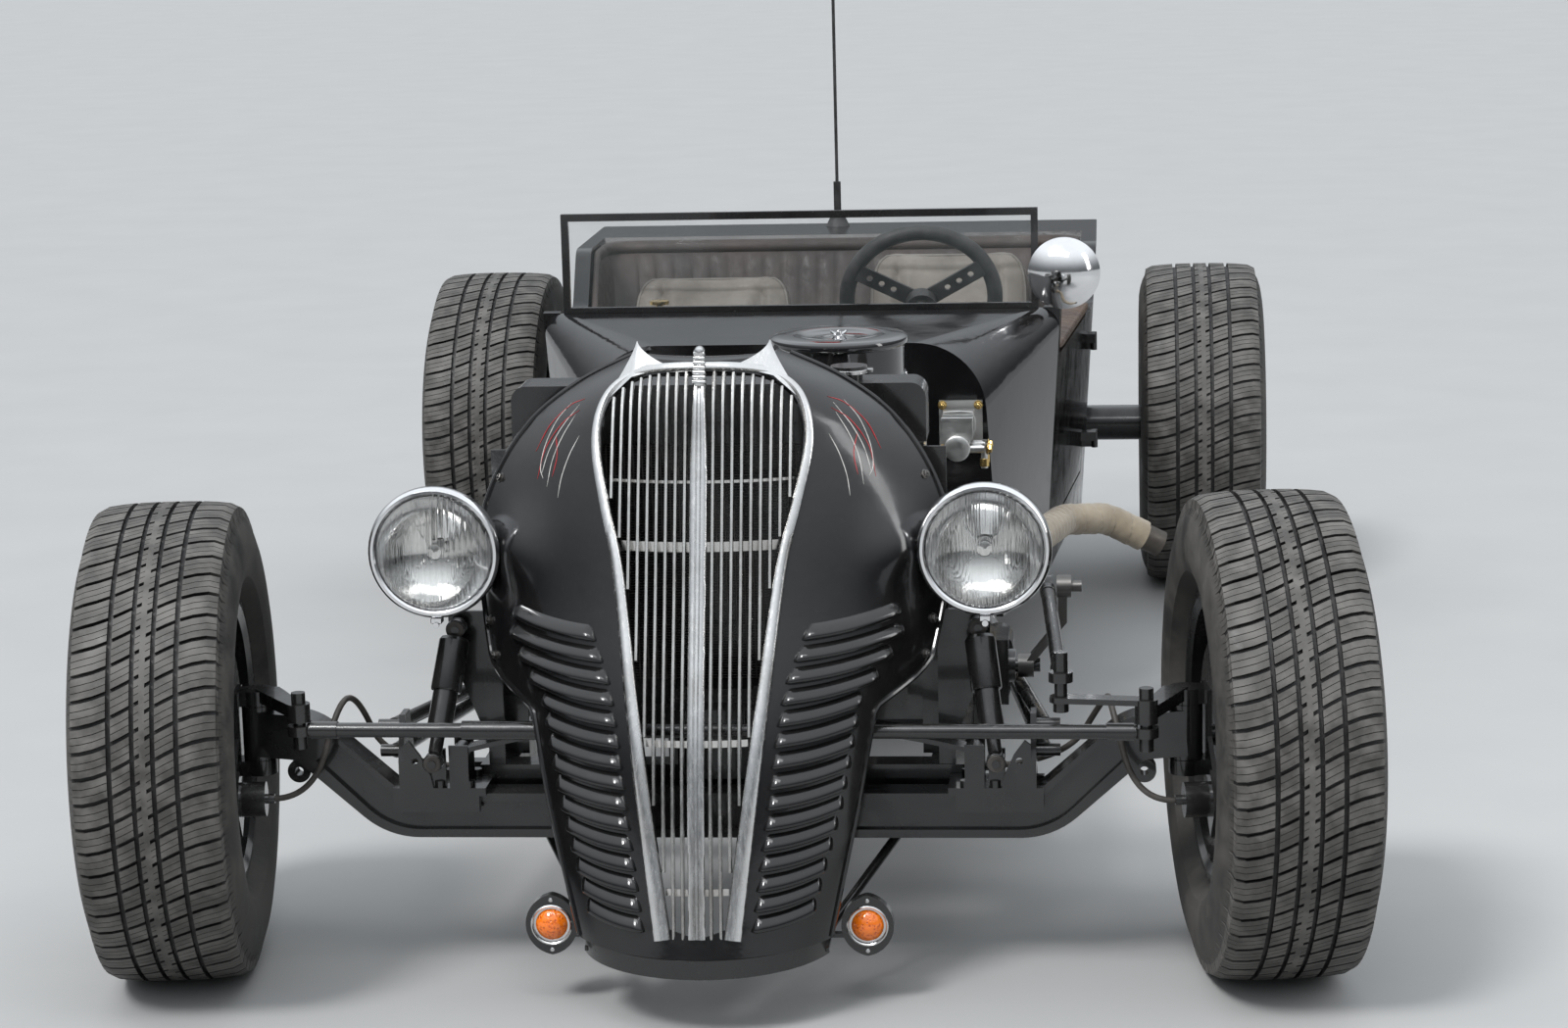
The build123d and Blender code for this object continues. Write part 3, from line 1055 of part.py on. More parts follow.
# Turn signals: pointed oval housings with amber lenses
housings = []
ambers = []
for side in (-1, 1):
    oval = make_face([
        ThreePointArc((0, 0, 44), (SIGNAL_R + 6, 0, 0), (0, 0, -44)),
        ThreePointArc((0, 0, -44), (-SIGNAL_R - 6, 0, 0), (0, 0, 44)),
    ])
    housing = extrude(oval, 16, dir=(0, 1, 0))
    housing += rod((0, 14, 0), (0, 34, 0), 26)
    housing -= rod((0, -1, 0), (0, 8, 0), SIGNAL_R - 5)
    place = Pos(side * SIGNAL_X, SIGNAL_Y - 16, SIGNAL_Z)
    housing = place * housing
    housing -= block(-400, 400, SIGNAL_Y + 10 - GAP, SIGNAL_Y + 30, 92 - GAP, 98 + GAP)
    housings.append(housing)
    amber_r = SIGNAL_R - 5 - GAP
    amber_face = make_face([Line((0, 0), (amber_r, 0)), dome(amber_r, 0, -18), Line((0, -18), (0, 0))])
    amber = place * Pos(0, 8 - GAP, 0) * revolve(amber_face, Axis.Y, 360)
    ambers.append(amber)
write("turn_signals", *housings)
write("signal_lenses", *ambers)


# Body tub: cowl, cockpit and tail in one skin

def hoop(y, half_bottom, half_top, z0, z1, corner):
    face = make_face(Polyline(
        (-half_bottom, y, z0), (half_bottom, y, z0), (half_top, y, z1), (-half_top, y, z1), close=True))
    return fillet(face.vertices().sort_by(Axis.Z)[-2:], corner)


lean = tan(radians(TUMBLEHOME))
cowl_half_top = COWL_HALF_BOTTOM + (COWL_TOP_Z - SILL_Z) * lean
cowl = loft([
    hoop(FIREWALL_Y, ARCH_HALF_BOTTOM, ARCH_HALF_TOP, SILL_Z, ARCH_TOP_Z, ARCH_CORNER_R),
    hoop(COWL_REAR_Y, COWL_HALF_BOTTOM, cowl_half_top, SILL_Z, COWL_TOP_Z, COWL_CORNER_R),
], ruled=True)
cowl_hollow = loft([
    hoop(FIREWALL_Y + 12, ARCH_HALF_BOTTOM - COWL_WALL, ARCH_HALF_TOP - COWL_WALL, FLOOR_TOP_Z,
         ARCH_TOP_Z - COWL_WALL, ARCH_CORNER_R - COWL_WALL),
    hoop(COWL_REAR_Y + 0.5, COWL_HALF_BOTTOM - COWL_WALL, cowl_half_top - COWL_WALL, FLOOR_TOP_Z,
         COWL_TOP_Z - COWL_WALL, COWL_CORNER_R - COWL_WALL),
], ruled=True)


def plan_solid(inset, z0, top, corner):
    """The tub's plan outline, drawn up with the sides' lean."""
    grow = (z0 - SILL_Z) * lean - inset
    front = COWL_REAR_Y - 120
    rise = (WIDE_HALF_BOTTOM - COWL_HALF_BOTTOM) / (WIDE_Y - COWL_REAR_Y)
    front_half = COWL_HALF_BOTTOM - rise * 120 + grow
    wide_half = WIDE_HALF_BOTTOM + grow
    rear = TAIL_Y - 30 - inset + (z0 - SILL_Z) * lean
    face = make_face(Polyline(
        (-front_half, front, z0), (front_half, front, z0), (wide_half, WIDE_Y, z0), (wide_half, rear, z0),
        (-wide_half, rear, z0), (-wide_half, WIDE_Y, z0), close=True))
    face = fillet(face.vertices().group_by(Axis.Y)[-1], corner)
    return extrude(face, top - z0, dir=(0, 0, 1), taper=-TUMBLEHOME)


def side_slab(points, rounds):
    """Slab across the car whose side outline has some rounded corners."""
    face = make_face(Polyline(*[(-800, y, z) for y, z in points], close=True))
    for (y, z), radius in rounds:
        corner = face.vertices().sort_by_distance((-800, y, z))[0]
        face = fillet(corner, radius)
    return extrude(face, 1600, dir=(1, 0, 0))


outer_profile = side_slab(
    [(COWL_REAR_Y, SILL_Z), (ARCH_FRONT_Y, SILL_Z), (ARCH_FRONT_Y, ARCH_Z), (ARCH_REAR_Y, ARCH_Z),
     (ARCH_REAR_Y, TAIL_BOTTOM_Z), (TAIL_Y - 24, TAIL_BOTTOM_Z), (TAIL_Y, 560), (TAIL_Y - 8, REAR_TOP_Z),
     (AX + 2380, REAR_TOP_Z), (AX + 2260, DOOR_TOP_Z), (COWL_REAR_Y + 30, DOOR_TOP_Z),
     (COWL_REAR_Y + 30, COWL_TOP_Z), (COWL_REAR_Y, COWL_TOP_Z)],
    [((ARCH_FRONT_Y, ARCH_Z), ARCH_R), ((TAIL_Y - 8, REAR_TOP_Z), TAIL_ROLL_R),
     ((AX + 2380, REAR_TOP_Z), 60), ((AX + 2260, DOOR_TOP_Z), 60)],
)
tub = plan_solid(0, SILL_Z, REAR_TOP_Z + 10, TAIL_CORNER_R) & outer_profile
cavity = plan_solid(WALL, FLOOR_TOP_Z, REAR_TOP_Z + 60, TAIL_CORNER_R - WALL) & side_slab(
    [(COWL_REAR_Y - 1, FLOOR_TOP_Z), (SEATBACK_FOOT_Y, FLOOR_TOP_Z), (SEATBACK_TOP_Y, REAR_TOP_Z + 50),
     (COWL_REAR_Y - 1, REAR_TOP_Z + 50)], [])
boot = plan_solid(WALL, FLOOR_TOP_Z, REAR_TOP_Z + 60, TAIL_CORNER_R - WALL) & side_slab(
    [(ARCH_FRONT_Y + 40, ARCH_Z - 1), (AX + 2612, REAR_TOP_Z - 30), (TAIL_Y - 45, REAR_TOP_Z - 30),
     (TAIL_Y - 40, 560), (TAIL_Y - 46, ARCH_Z - 1)],
    [((TAIL_Y - 45, REAR_TOP_Z - 30), TAIL_ROLL_R - 30)],
)


def tunnel(half, top, corner, y0, y1):
    face = make_face(Polyline((-half, y0, 200), (half, y0, 200), (half, y0, top), (-half, y0, top), close=True))
    face = fillet(face.vertices().sort_by(Axis.Z)[-2:], corner)
    return extrude(face, y1 - y0, dir=(0, 1, 0))


wide_out = tunnel(TUNNEL_HALF, TUNNEL_TOP_Z, TUNNEL_R, FIREWALL_Y + 5, TUNNEL_STEP_Y)
narrow_out = tunnel(SHAFT_TUNNEL_HALF, SHAFT_TUNNEL_TOP_Z, 40, TUNNEL_STEP_Y - 30, ARCH_FRONT_Y - 1)
cavity = cavity - wide_out - narrow_out
cowl_hollow -= wide_out
tub = tub - cavity - boot
tub += cowl - cowl_hollow
tub -= tunnel(TUNNEL_HALF - TUNNEL_WALL, TUNNEL_TOP_Z - TUNNEL_WALL, TUNNEL_R - TUNNEL_WALL,
              FIREWALL_Y - 20, TUNNEL_STEP_Y - TUNNEL_WALL)
tub -= tunnel(SHAFT_TUNNEL_HALF - 12, SHAFT_TUNNEL_TOP_Z - 12, 28, TUNNEL_STEP_Y - 40, ARCH_FRONT_Y + 20)
# Channels over the rails, with room for the rear links
tub -= block(-RAIL_CHANNEL, RAIL_CHANNEL, FIREWALL_Y - 50, COWL_REAR_Y + 1, 200, RAIL_TOP_Z + GAP)
tub -= block(-LINK_CHANNEL, LINK_CHANNEL, COWL_REAR_Y, ARCH_FRONT_Y + 1, 200, RAIL_TOP_Z + GAP)

# Hole for the steering column
column_dir = Vector(0.06, -cos(radians(COLUMN_TILT)), -sin(radians(COLUMN_TILT))).normalized()
hub_point = Vector(*HUB)
COLUMN_R = 22.0
COLUMN_LENGTH = 740.0
column_end = hub_point + column_dir * COLUMN_LENGTH
tub -= rod(tuple(hub_point + column_dir * 500), tuple(hub_point + column_dir * 900), COLUMN_R + 2)

# Doors: cut from the same sides, hung on outside hinges at the rear edge
rise = (WIDE_HALF_BOTTOM - COWL_HALF_BOTTOM) / (WIDE_Y - COWL_REAR_Y)


def outer_x(y, z):
    """Half width of the tub's outer face ahead of its widest line."""
    return COWL_HALF_BOTTOM + (y - COWL_REAR_Y) * rise + (z - SILL_Z) * lean


HINGE_Y = DOOR_REAR_Y + MOVE_GAP / 2
HINGE_X = outer_x(HINGE_Y, DOOR_TOP_Z) + HINGE_OUT
solid_side = plan_solid(0, SILL_Z, REAR_TOP_Z, TAIL_CORNER_R) - plan_solid(
    WALL, FLOOR_TOP_Z - 2, REAR_TOP_Z + 60, TAIL_CORNER_R - WALL)
front_x = outer_x(DOOR_FRONT_Y, DOOR_BOTTOM_Z)
door_zone = plan_plate(
    [(600, DOOR_FRONT_Y - DOOR_BEVEL * (600 - front_x)), (600, DOOR_REAR_Y), (380, DOOR_REAR_Y),
     (380, DOOR_FRONT_Y + DOOR_BEVEL * (front_x - 380))],
    DOOR_BOTTOM_Z, DOOR_TOP_Z,
)
door = solid_side & door_zone
doorway = plan_plate(
    [(600, DOOR_FRONT_Y - MOVE_GAP - DOOR_BEVEL * (600 - front_x)), (600, DOOR_REAR_Y + MOVE_GAP),
     (380, DOOR_REAR_Y + MOVE_GAP), (380, DOOR_FRONT_Y - MOVE_GAP + DOOR_BEVEL * (front_x - 380))],
    DOOR_BOTTOM_Z - MOVE_GAP, 900,
)
tub -= doorway
tub -= mirror(doorway, about=Plane.YZ)
for z in HINGE_ZS:
    leaf_in = HINGE_X - 30
    door += Pos(HINGE_X, HINGE_Y, z + HINGE_H / 2 + GAP) * Cylinder(HINGE_R, HINGE_H)
    door += block(leaf_in, HINGE_X, HINGE_Y - 34, HINGE_Y - 3.5, z + GAP, z + GAP + HINGE_H) & (
        plan_plate([(0, HINGE_Y - 34), (0, DOOR_REAR_Y), (900, DOOR_REAR_Y), (900, HINGE_Y - 34)], 0, 900))
    door += block(HINGE_X - 5, HINGE_X + 3, HINGE_Y - 34, HINGE_Y, z + GAP, z + GAP + HINGE_H)
    hinge = Pos(HINGE_X, HINGE_Y, z - HINGE_H / 2) * Cylinder(HINGE_R, HINGE_H)
    hinge += block(HINGE_X - 5, HINGE_X + 3, HINGE_Y, HINGE_Y + 34, z - HINGE_H, z)
    hinge += block(leaf_in, HINGE_X, HINGE_Y + 4, HINGE_Y + 34, z - HINGE_H, z)
    tub += hinge
    tub += mirror(hinge, about=Plane.YZ)
write("body_tub", tub)
door_pair = both_sides(door)
write("door_left", door_pair[0])
write("door_right", door_pair[1])

# Leather pads on the door tops
PAD_H = 22.0
pad_zone = plan_plate(
    [(600, DOOR_FRONT_Y + 8), (600, DOOR_REAR_Y - 12), (300, DOOR_REAR_Y - 12), (300, DOOR_FRONT_Y + 16)],
    DOOR_TOP_Z + GAP, DOOR_TOP_Z + GAP + PAD_H,
)
pad_band = plan_solid(-3, SILL_Z, REAR_TOP_Z, TAIL_CORNER_R) - plan_solid(
    WALL + 14, FLOOR_TOP_Z - 2, REAR_TOP_Z + 60, TAIL_CORNER_R - WALL)
pad = pad_band & pad_zone
pad_pair = both_sides(pad)
write("door_pad_left", pad_pair[0])
write("door_pad_right", pad_pair[1])

# Leather lining round the back of the cockpit
def seatback_y(z):
    """Front face of the sloped bulkhead behind the seats."""
    slope = (SEATBACK_TOP_Y - SEATBACK_FOOT_Y) / (REAR_TOP_Z + 50 - FLOOR_TOP_Z)
    return SEATBACK_FOOT_Y + (z - FLOOR_TOP_Z) * slope


lining = plan_solid(WALL + GAP, FLOOR_TOP_Z, REAR_TOP_Z + 60, TAIL_CORNER_R - WALL) & side_slab(
    [(AX + 2275, 500), (seatback_y(500) - 0.5, 500), (seatback_y(REAR_TOP_Z - 4) - 0.5, REAR_TOP_Z - 4),
     (AX + 2400, REAR_TOP_Z - 4), (AX + 2275, DOOR_TOP_Z - 4)], [])
lining -= plan_solid(WALL + 16, FLOOR_TOP_Z - 50, REAR_TOP_Z + 90, TAIL_CORNER_R - WALL - 16) & side_slab(
    [(AX + 2200, 400), (seatback_y(400) - 16, 400), (seatback_y(REAR_TOP_Z + 60) - 16, REAR_TOP_Z + 60),
     (AX + 2200, REAR_TOP_Z + 60)], [])
write("cabin_lining", lining)

# Dashboard with its shelf
dash_y = COWL_REAR_Y - 12
DASH_TOP_Z = 728.1
dash = front_plate(
    [(-437, 610), (437, 610), (445.4, 718), (436, DASH_TOP_Z), (-436, DASH_TOP_Z), (-445.4, 718)],
    dash_y, dash_y + 8)
dash += block(-300, 300, dash_y, dash_y + 90, 716, 722)
dash -= rod(tuple(hub_point + column_dir * 200), tuple(hub_point + column_dir * 600), COLUMN_R + GAP)
write("dashboard", dash)

# Windscreen frame and pane
half = SCREEN_HALF
bar = SCREEN_BAR
screen = front_plate(
    [(-half, COWL_TOP_Z), (half, COWL_TOP_Z), (half, SCREEN_TOP_Z), (-half, SCREEN_TOP_Z)],
    SCREEN_Y - 45, SCREEN_Y - 45 + bar)
pane_zone = front_plate(
    [(-half + bar, COWL_TOP_Z + bar - 3), (half - bar, COWL_TOP_Z + bar - 3),
     (half - bar, SCREEN_TOP_Z - bar), (-half + bar, SCREEN_TOP_Z - bar)],
    SCREEN_Y - 60, SCREEN_Y)
screen -= pane_zone
write("windscreen_frame", screen)
pane = front_plate(
    [(-half + bar + GAP, COWL_TOP_Z + bar - 3 + GAP), (half - bar - GAP, COWL_TOP_Z + bar - 3 + GAP),
     (half - bar - GAP, SCREEN_TOP_Z - bar - GAP), (-half + bar + GAP, SCREEN_TOP_Z - bar - GAP)],
    SCREEN_Y - 41, SCREEN_Y - 36)
write("windscreen_glass", pane)

# Round mirror on the left post
MIRROR_R = 66.0
mirror_c = (SCREEN_HALF + 47, SCREEN_Y - 52, 822.0)
dish = make_face([
    Polyline((0, 0), (MIRROR_R, 0), (MIRROR_R, -8)), dome(MIRROR_R, -8, -30), Line((0, -38), (0, 0))])
bowl = Pos(*mirror_c) * revolve(dish, Axis.Y, 360)
arm = block(SCREEN_HALF + GAP, SCREEN_HALF + 40, SCREEN_Y - 53, SCREEN_Y - 33, 812, 832)
write("mirror", bowl + arm)

# Seats
def seat(x, drop):
    outline = [
        (AX + 1960, FLOOR_TOP_Z + GAP), (AX + 2330, FLOOR_TOP_Z + GAP), (AX + 2505, 755 - drop),
        (AX + 2470, 765 - drop), (AX + 2405, 740 - drop), (AX + 2290, 430), (AX + 1985, 450), (AX + 1950, 420),
    ]
    plate = side_plate(outline, x - 172, x + 172)
    plate = fillet(plate.edges().filter_by(Axis.X).sort_by(Axis.Z)[-2:], 14)
    return plate


seats = [seat(236, 0), seat(-262, 45)]
write("seats", *seats)

# Steering column, shaft, box and its output shaft
HUB_SHAFT_R = 9.0
column = rod(tuple(hub_point + column_dir * 46), tuple(column_end), COLUMN_R)
column += rod(tuple(hub_point + column_dir * 21), tuple(hub_point + column_dir * 50), HUB_SHAFT_R)
shaft_from = column_end - column_dir * 4
BOX_IN = (392.0, AX + 520.0, 372.0)
column += rod(tuple(shaft_from), BOX_IN, 11)
column += Pos(*shaft_from) * Sphere(20)
box_x0 = RAIL_X + RAIL_W / 2 + GAP
column += block(box_x0, shaft_x0 - 14, PITMAN_SHAFT_Y - 45, PITMAN_SHAFT_Y + 48, PITMAN_SHAFT_Z - 52, PITMAN_SHAFT_Z + 50)
column += block(box_x0, 394, PITMAN_SHAFT_Y - 40, PITMAN_SHAFT_Y + 40, 262, 302)
column += rod(BOX_IN, (BOX_IN[0], PITMAN_SHAFT_Y + 20, BOX_IN[2]), 24)
column += rod((shaft_x0 - 20, PITMAN_SHAFT_Y, PITMAN_SHAFT_Z), (shaft_x0 - 4, PITMAN_SHAFT_Y, PITMAN_SHAFT_Z), 26)
column += rod((shaft_x0 - 6, PITMAN_SHAFT_Y, PITMAN_SHAFT_Z), (shaft_x1 + 10, PITMAN_SHAFT_Y, PITMAN_SHAFT_Z), 11)
write("steering_column", column)

# Steering wheel in its own plane, then tilted onto the column
grip = Torus(WHEEL_RIM_R - WHEEL_GRIP_R, WHEEL_GRIP_R)
wheel = grip + Pos(0, 0, -28) * Cylinder(30, 30) + Pos(0, 0, -14) * Cylinder(22, 14)
for angle in (90, 210, 330):
    spoke = Plane.XY.location * Box(WHEEL_RIM_R - 30, 34, 5, align=(Align.MIN, Align.CENTER, Align.CENTER))
    for hole in range(3):
        spoke -= Pos(52 + 26 * hole, 0, 0) * Cylinder(6, 20)
    wheel += Rot(0, 0, angle) * Pos(8, 0, -12) * spoke
wheel -= Pos(0, 0, -32) * Cylinder(HUB_SHAFT_R + RUN_GAP, 24)
wheel_plane = Plane(origin=hub_point, z_dir=-column_dir, x_dir=(1, 0, 0))
write("steering_wheel", wheel_plane.location * wheel)

# Brass valve on the dashboard's shelf
valve = (-268.0, dash_y + 62, 722.0)
valve_part = Pos(valve[0], valve[1], 724) * Cylinder(22, 4)
valve_part += Pos(valve[0], valve[1], 745) * Cylinder(7, 44)
valve_part += Pos(valve[0], valve[1], 738) * Cylinder(12, 12)
valve_part += Pos(valve[0], valve[1], 768) * Cylinder(18, 6)
write("brass_valve", valve_part)

# Brake cylinder on the firewall
CYL_X = 306.0
CYL_Z = 588.0
cyl = block(CYL_X - 36, CYL_X + 40, FIREWALL_Y - 6, FIREWALL_Y - GAP, CYL_Z - 42, CYL_Z + 52)
cyl += rod((CYL_X, FIREWALL_Y - 5, CYL_Z - 12), (CYL_X, FIREWALL_Y - 130, CYL_Z - 12), 21)
cyl += block(CYL_X - 26, CYL_X + 26, FIREWALL_Y - 118, FIREWALL_Y - 30, CYL_Z, CYL_Z + 34)
for offset in (-105, -65):
    cyl += rod((CYL_X + 10, FIREWALL_Y + offset, CYL_Z - 16), (CYL_X + 46, FIREWALL_Y + offset, CYL_Z - 16), 8)
    cyl += rod((CYL_X + 46, FIREWALL_Y + offset, CYL_Z - 8), (CYL_X + 46, FIREWALL_Y + offset, CYL_Z - 50), 6)
write("brake_cylinder", cyl)

# Whip antenna with a hanging flag
mast = cone((MAST_X, MAST_Y, REAR_TOP_Z + GAP), (MAST_X, MAST_Y, 800), 26, 14)
mast += rod((MAST_X, MAST_Y, 795), (MAST_X, MAST_Y, 872), 8)
mast += rod((MAST_X, MAST_Y, 870), (MAST_X, MAST_Y, MAST_TOP_Z), 3.5)
write("antenna", mast)
FLAG_H = 300.0
flag_x1 = MAST_X - 3.5 - GAP
flag = plan_plate(
    [(flag_x1, MAST_Y - 8), (flag_x1, MAST_Y + 8), (flag_x1 - 70, MAST_Y + 24), (flag_x1 - 96, MAST_Y + 6),
     (flag_x1 - 60, MAST_Y - 18)],
    MAST_TOP_Z - 20 - FLAG_H, MAST_TOP_Z - 20,
)
write("flag", flag)

# Tail lamps on the back panel
tails = []
for side in (-1, 1):
    lamp = rod((side * 330, TAIL_Y - 6, 585), (side * 330, TAIL_Y + 22, 585), 42)
    tails.append(lamp - (plan_solid(0, SILL_Z, REAR_TOP_Z + 10, TAIL_CORNER_R) & outer_profile))
write("tail_lamps", *tails)

# Brake hoses from glands on the rails, over the axle beam, to the calipers' glands
for name, side in SIDES:
    end = steered(side) * Pos(-side * (GLAND_OUT + GAP), CALIPER_Y, CALIPER_Z)
    run = steered(side) * Pos(-side * (GLAND_OUT + 56), CALIPER_Y, CALIPER_Z)
    over_x = run.position.X - side * 34
    points = [
        (side * (HOSE_GLAND_X + GAP), AX + 70, 285), (side * 500, AX + 72, 291),
        (over_x - side * 6, AX + 60, 396), (over_x, AX - 42, 412),
        tuple(run.position), tuple(end.position),
    ]
    radii = []
    for i in range(1, len(points) - 1):
        a = Vector(*points[i - 1])
        b = Vector(*points[i])
        c = Vector(*points[i + 1])
        turn = (b - a).get_angle(c - b)
        shorter = min((b - a).length, (c - b).length)
        radii.append(0.45 * shorter / tan(radians(turn) / 2))
    write(f"brake_hose_{name}", bent_tube(points, radii, HOSE_R_OUT))
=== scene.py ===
from math import asin, atan2, copysign, cos, exp, pi, radians, sin, sqrt, tan

import bpy
from mathutils import Matrix, Vector


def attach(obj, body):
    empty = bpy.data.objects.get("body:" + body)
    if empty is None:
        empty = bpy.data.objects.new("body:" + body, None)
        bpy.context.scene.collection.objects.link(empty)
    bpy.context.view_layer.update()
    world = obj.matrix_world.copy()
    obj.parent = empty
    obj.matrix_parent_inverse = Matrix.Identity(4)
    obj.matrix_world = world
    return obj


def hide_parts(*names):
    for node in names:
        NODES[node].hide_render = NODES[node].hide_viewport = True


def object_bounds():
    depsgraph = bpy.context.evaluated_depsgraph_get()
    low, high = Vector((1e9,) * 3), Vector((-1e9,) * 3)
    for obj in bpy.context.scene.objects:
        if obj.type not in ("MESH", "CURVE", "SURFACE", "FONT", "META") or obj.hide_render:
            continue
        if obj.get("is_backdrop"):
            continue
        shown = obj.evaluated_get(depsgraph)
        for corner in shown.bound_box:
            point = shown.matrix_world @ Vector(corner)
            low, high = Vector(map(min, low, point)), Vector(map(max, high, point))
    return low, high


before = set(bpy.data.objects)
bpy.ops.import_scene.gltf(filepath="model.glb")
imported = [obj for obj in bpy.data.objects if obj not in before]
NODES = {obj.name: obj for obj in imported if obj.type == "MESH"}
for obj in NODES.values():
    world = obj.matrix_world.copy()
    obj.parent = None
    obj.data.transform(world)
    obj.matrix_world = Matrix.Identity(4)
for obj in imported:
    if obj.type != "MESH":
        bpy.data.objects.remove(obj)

CAD_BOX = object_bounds()
X = Vector((1, 0, 0))
Y = Vector((0, 1, 0))
Z = Vector((0, 0, 1))
FORWARD = (0, -1, 0)

# Places from the CAD, in metres
STEER = radians(7.1)
KINGPIN_X = 0.672
SPINDLE_X = 0.118
FRONT_R = 0.348
REAR_R = 0.3435
WHEELBASE = 2.69
REAR_X = 0.765
FRONT_TREAD = 0.086
REACH = FRONT_R * cos(STEER) + (FRONT_TREAD + SPINDLE_X) * sin(STEER)
AX = (REACH - WHEELBASE - REAR_R) / 2
REAR_Y = AX + WHEELBASE


def mm(*rows):
    """Rows of lengths in millimetres, as metres."""
    return tuple(tuple(value / 1000 for value in row) for row in rows)


# Shell's level outlines: z, half width, nose and back edge
SHELL_ROWS = mm((115, 190, -315, -185), (390, 290, -262, -95), (600, 338, -185, 20), (700, 325, -150, 42),
                (800, 266, -115, 62), (860, 188, -95, 72), (905, 90, -66, 78))


# Camera at the photograph's place and angle, its focal length in the photo's pixels

CAM_F = 3566.81
PHOTO_WIDE = 1600
SENSOR = 36
CAM_AT = (0.56422, -4.85702 + AX, 1.63092)
YAW = -0.094232
PITCH = 0.193563
ROLL = -0.02544

ahead = Vector((sin(YAW) * cos(PITCH), cos(YAW) * cos(PITCH), -sin(PITCH)))
level = Vector((cos(YAW), -sin(YAW), 0))
above = level.cross(ahead)
right = cos(ROLL) * level + sin(ROLL) * above
upward = -sin(ROLL) * level + cos(ROLL) * above
camera_data = bpy.data.cameras.new("camera")
camera_data.sensor_width = SENSOR
camera_data.lens = CAM_F / PHOTO_WIDE * SENSOR
camera_data.clip_end = 60
camera = bpy.data.objects.new("camera", camera_data)
bpy.context.scene.collection.objects.link(camera)
camera.matrix_world = Matrix.Translation(CAM_AT) @ Matrix((right, upward, -ahead)).transposed().to_4x4()
bpy.context.scene.camera = camera
bpy.context.scene.view_settings.view_transform = "Standard"


def link(obj):
    bpy.context.scene.collection.objects.link(obj)
    return obj


def along(table, at):
    """Value at a place, straight between the rows of a table of (place, value)."""
    for (a0, v0), (a1, v1) in zip(table, table[1:]):
        if at <= a1:
            return v0 + (v1 - v0) * (at - a0) / (a1 - a0)
    return table[-1][1]


# Materials


class Tree:
    """A tree of shader nodes, with short calls for new nodes and links."""

    def __init__(self, tree):
        self.tree = tree
        tree.nodes.clear()

    def node(self, kind, **values):
        """New node with values for its inputs, whose spaces are written as underscores."""
        node = self.tree.nodes.new("ShaderNode" + kind)
        fill(node, values)
        return node

    def join(self, a, b):
        self.tree.links.new(a, b)


def fill(node, values):
    for key, value in values.items():
        node.inputs[key.replace("_", " ")].default_value = value


class Graph(Tree):
    """A material's nodes, with short calls for the ones in use."""

    def __init__(self, name):
        self.material = bpy.data.materials.new(name)
        self.material.use_nodes = True
        super().__init__(self.material.node_tree)
        out = self.node("OutputMaterial")
        self.shader = self.node("BsdfPrincipled")
        self.join(self.shader.outputs["BSDF"], out.inputs["Surface"])
        self.place = self.node("TexCoord").outputs["Object"]

    def texture(self, kind, stretch=None, **values):
        """Pattern in the object's own space, stretched where asked for."""
        node = self.node("Tex" + kind, **values)
        place = self.place
        if stretch:
            mapping = self.node("Mapping", Scale=stretch)
            self.join(place, mapping.inputs["Vector"])
            place = mapping.outputs["Vector"]
        self.join(place, node.inputs["Vector"])
        return node

    def noise(self, scale, detail=4.0, rough=0.55, stretch=None):
        return self.texture("Noise", stretch, Scale=scale, Detail=detail, Roughness=rough).outputs["Fac"]

    def cells(self, scale, feature="F1"):
        node = self.texture("Voronoi", Scale=scale)
        node.feature = feature
        return node.outputs["Distance"]

    def wave(self, scale, distortion, direction):
        node = self.texture("Wave", Scale=scale, Distortion=distortion)
        node.bands_direction = direction
        return node.outputs["Fac"]

    def ramp(self, value, low, high, v0=0.0, v1=1.0):
        """Value between two limits, spread from v0 to v1 and held there beyond them."""
        node = self.node("MapRange", From_Min=low, From_Max=high, To_Min=v0, To_Max=v1)
        self.join(value, node.inputs["Value"])
        return node.outputs["Result"]

    def put(self, value, socket):
        """Link into a socket, or the socket's own value where it is a number or a colour."""
        if isinstance(value, (int, float)):
            socket.default_value = value
        elif isinstance(value, tuple):
            socket.default_value = (*value, 1)
        else:
            self.join(value, socket)

    def maths(self, kind, a, b):
        node = self.node("Math")
        node.operation = kind
        self.put(a, node.inputs[0])
        self.put(b, node.inputs[1])
        return node.outputs["Value"]

    def mix(self, factor, a, b):
        node = self.node("Mix")
        node.data_type = "RGBA"
        self.join(factor, node.inputs["Factor"])
        ends = [socket for socket in node.inputs if socket.type == "RGBA"]
        self.put(a, ends[0])
        self.put(b, ends[1])
        return [socket for socket in node.outputs if socket.type == "RGBA"][0]

    def facing_up(self):
        node = self.node("NewGeometry")
        split = self.node("SeparateXYZ")
        self.join(node.outputs["Normal"], split.inputs[0])
        return split.outputs["Z"]

    def set(self, **values):
        fill(self.shader, values)

    def colour(self, socket):
        self.join(socket, self.shader.inputs["Base Color"])

    def roughness(self, socket):
        self.join(socket, self.shader.inputs["Roughness"])

    def bump(self, height, strength, distance):
        node = self.node("Bump", Strength=strength, Distance=distance)
        self.join(height, node.inputs["Height"])
        self.join(node.outputs["Normal"], self.shader.inputs["Normal"])


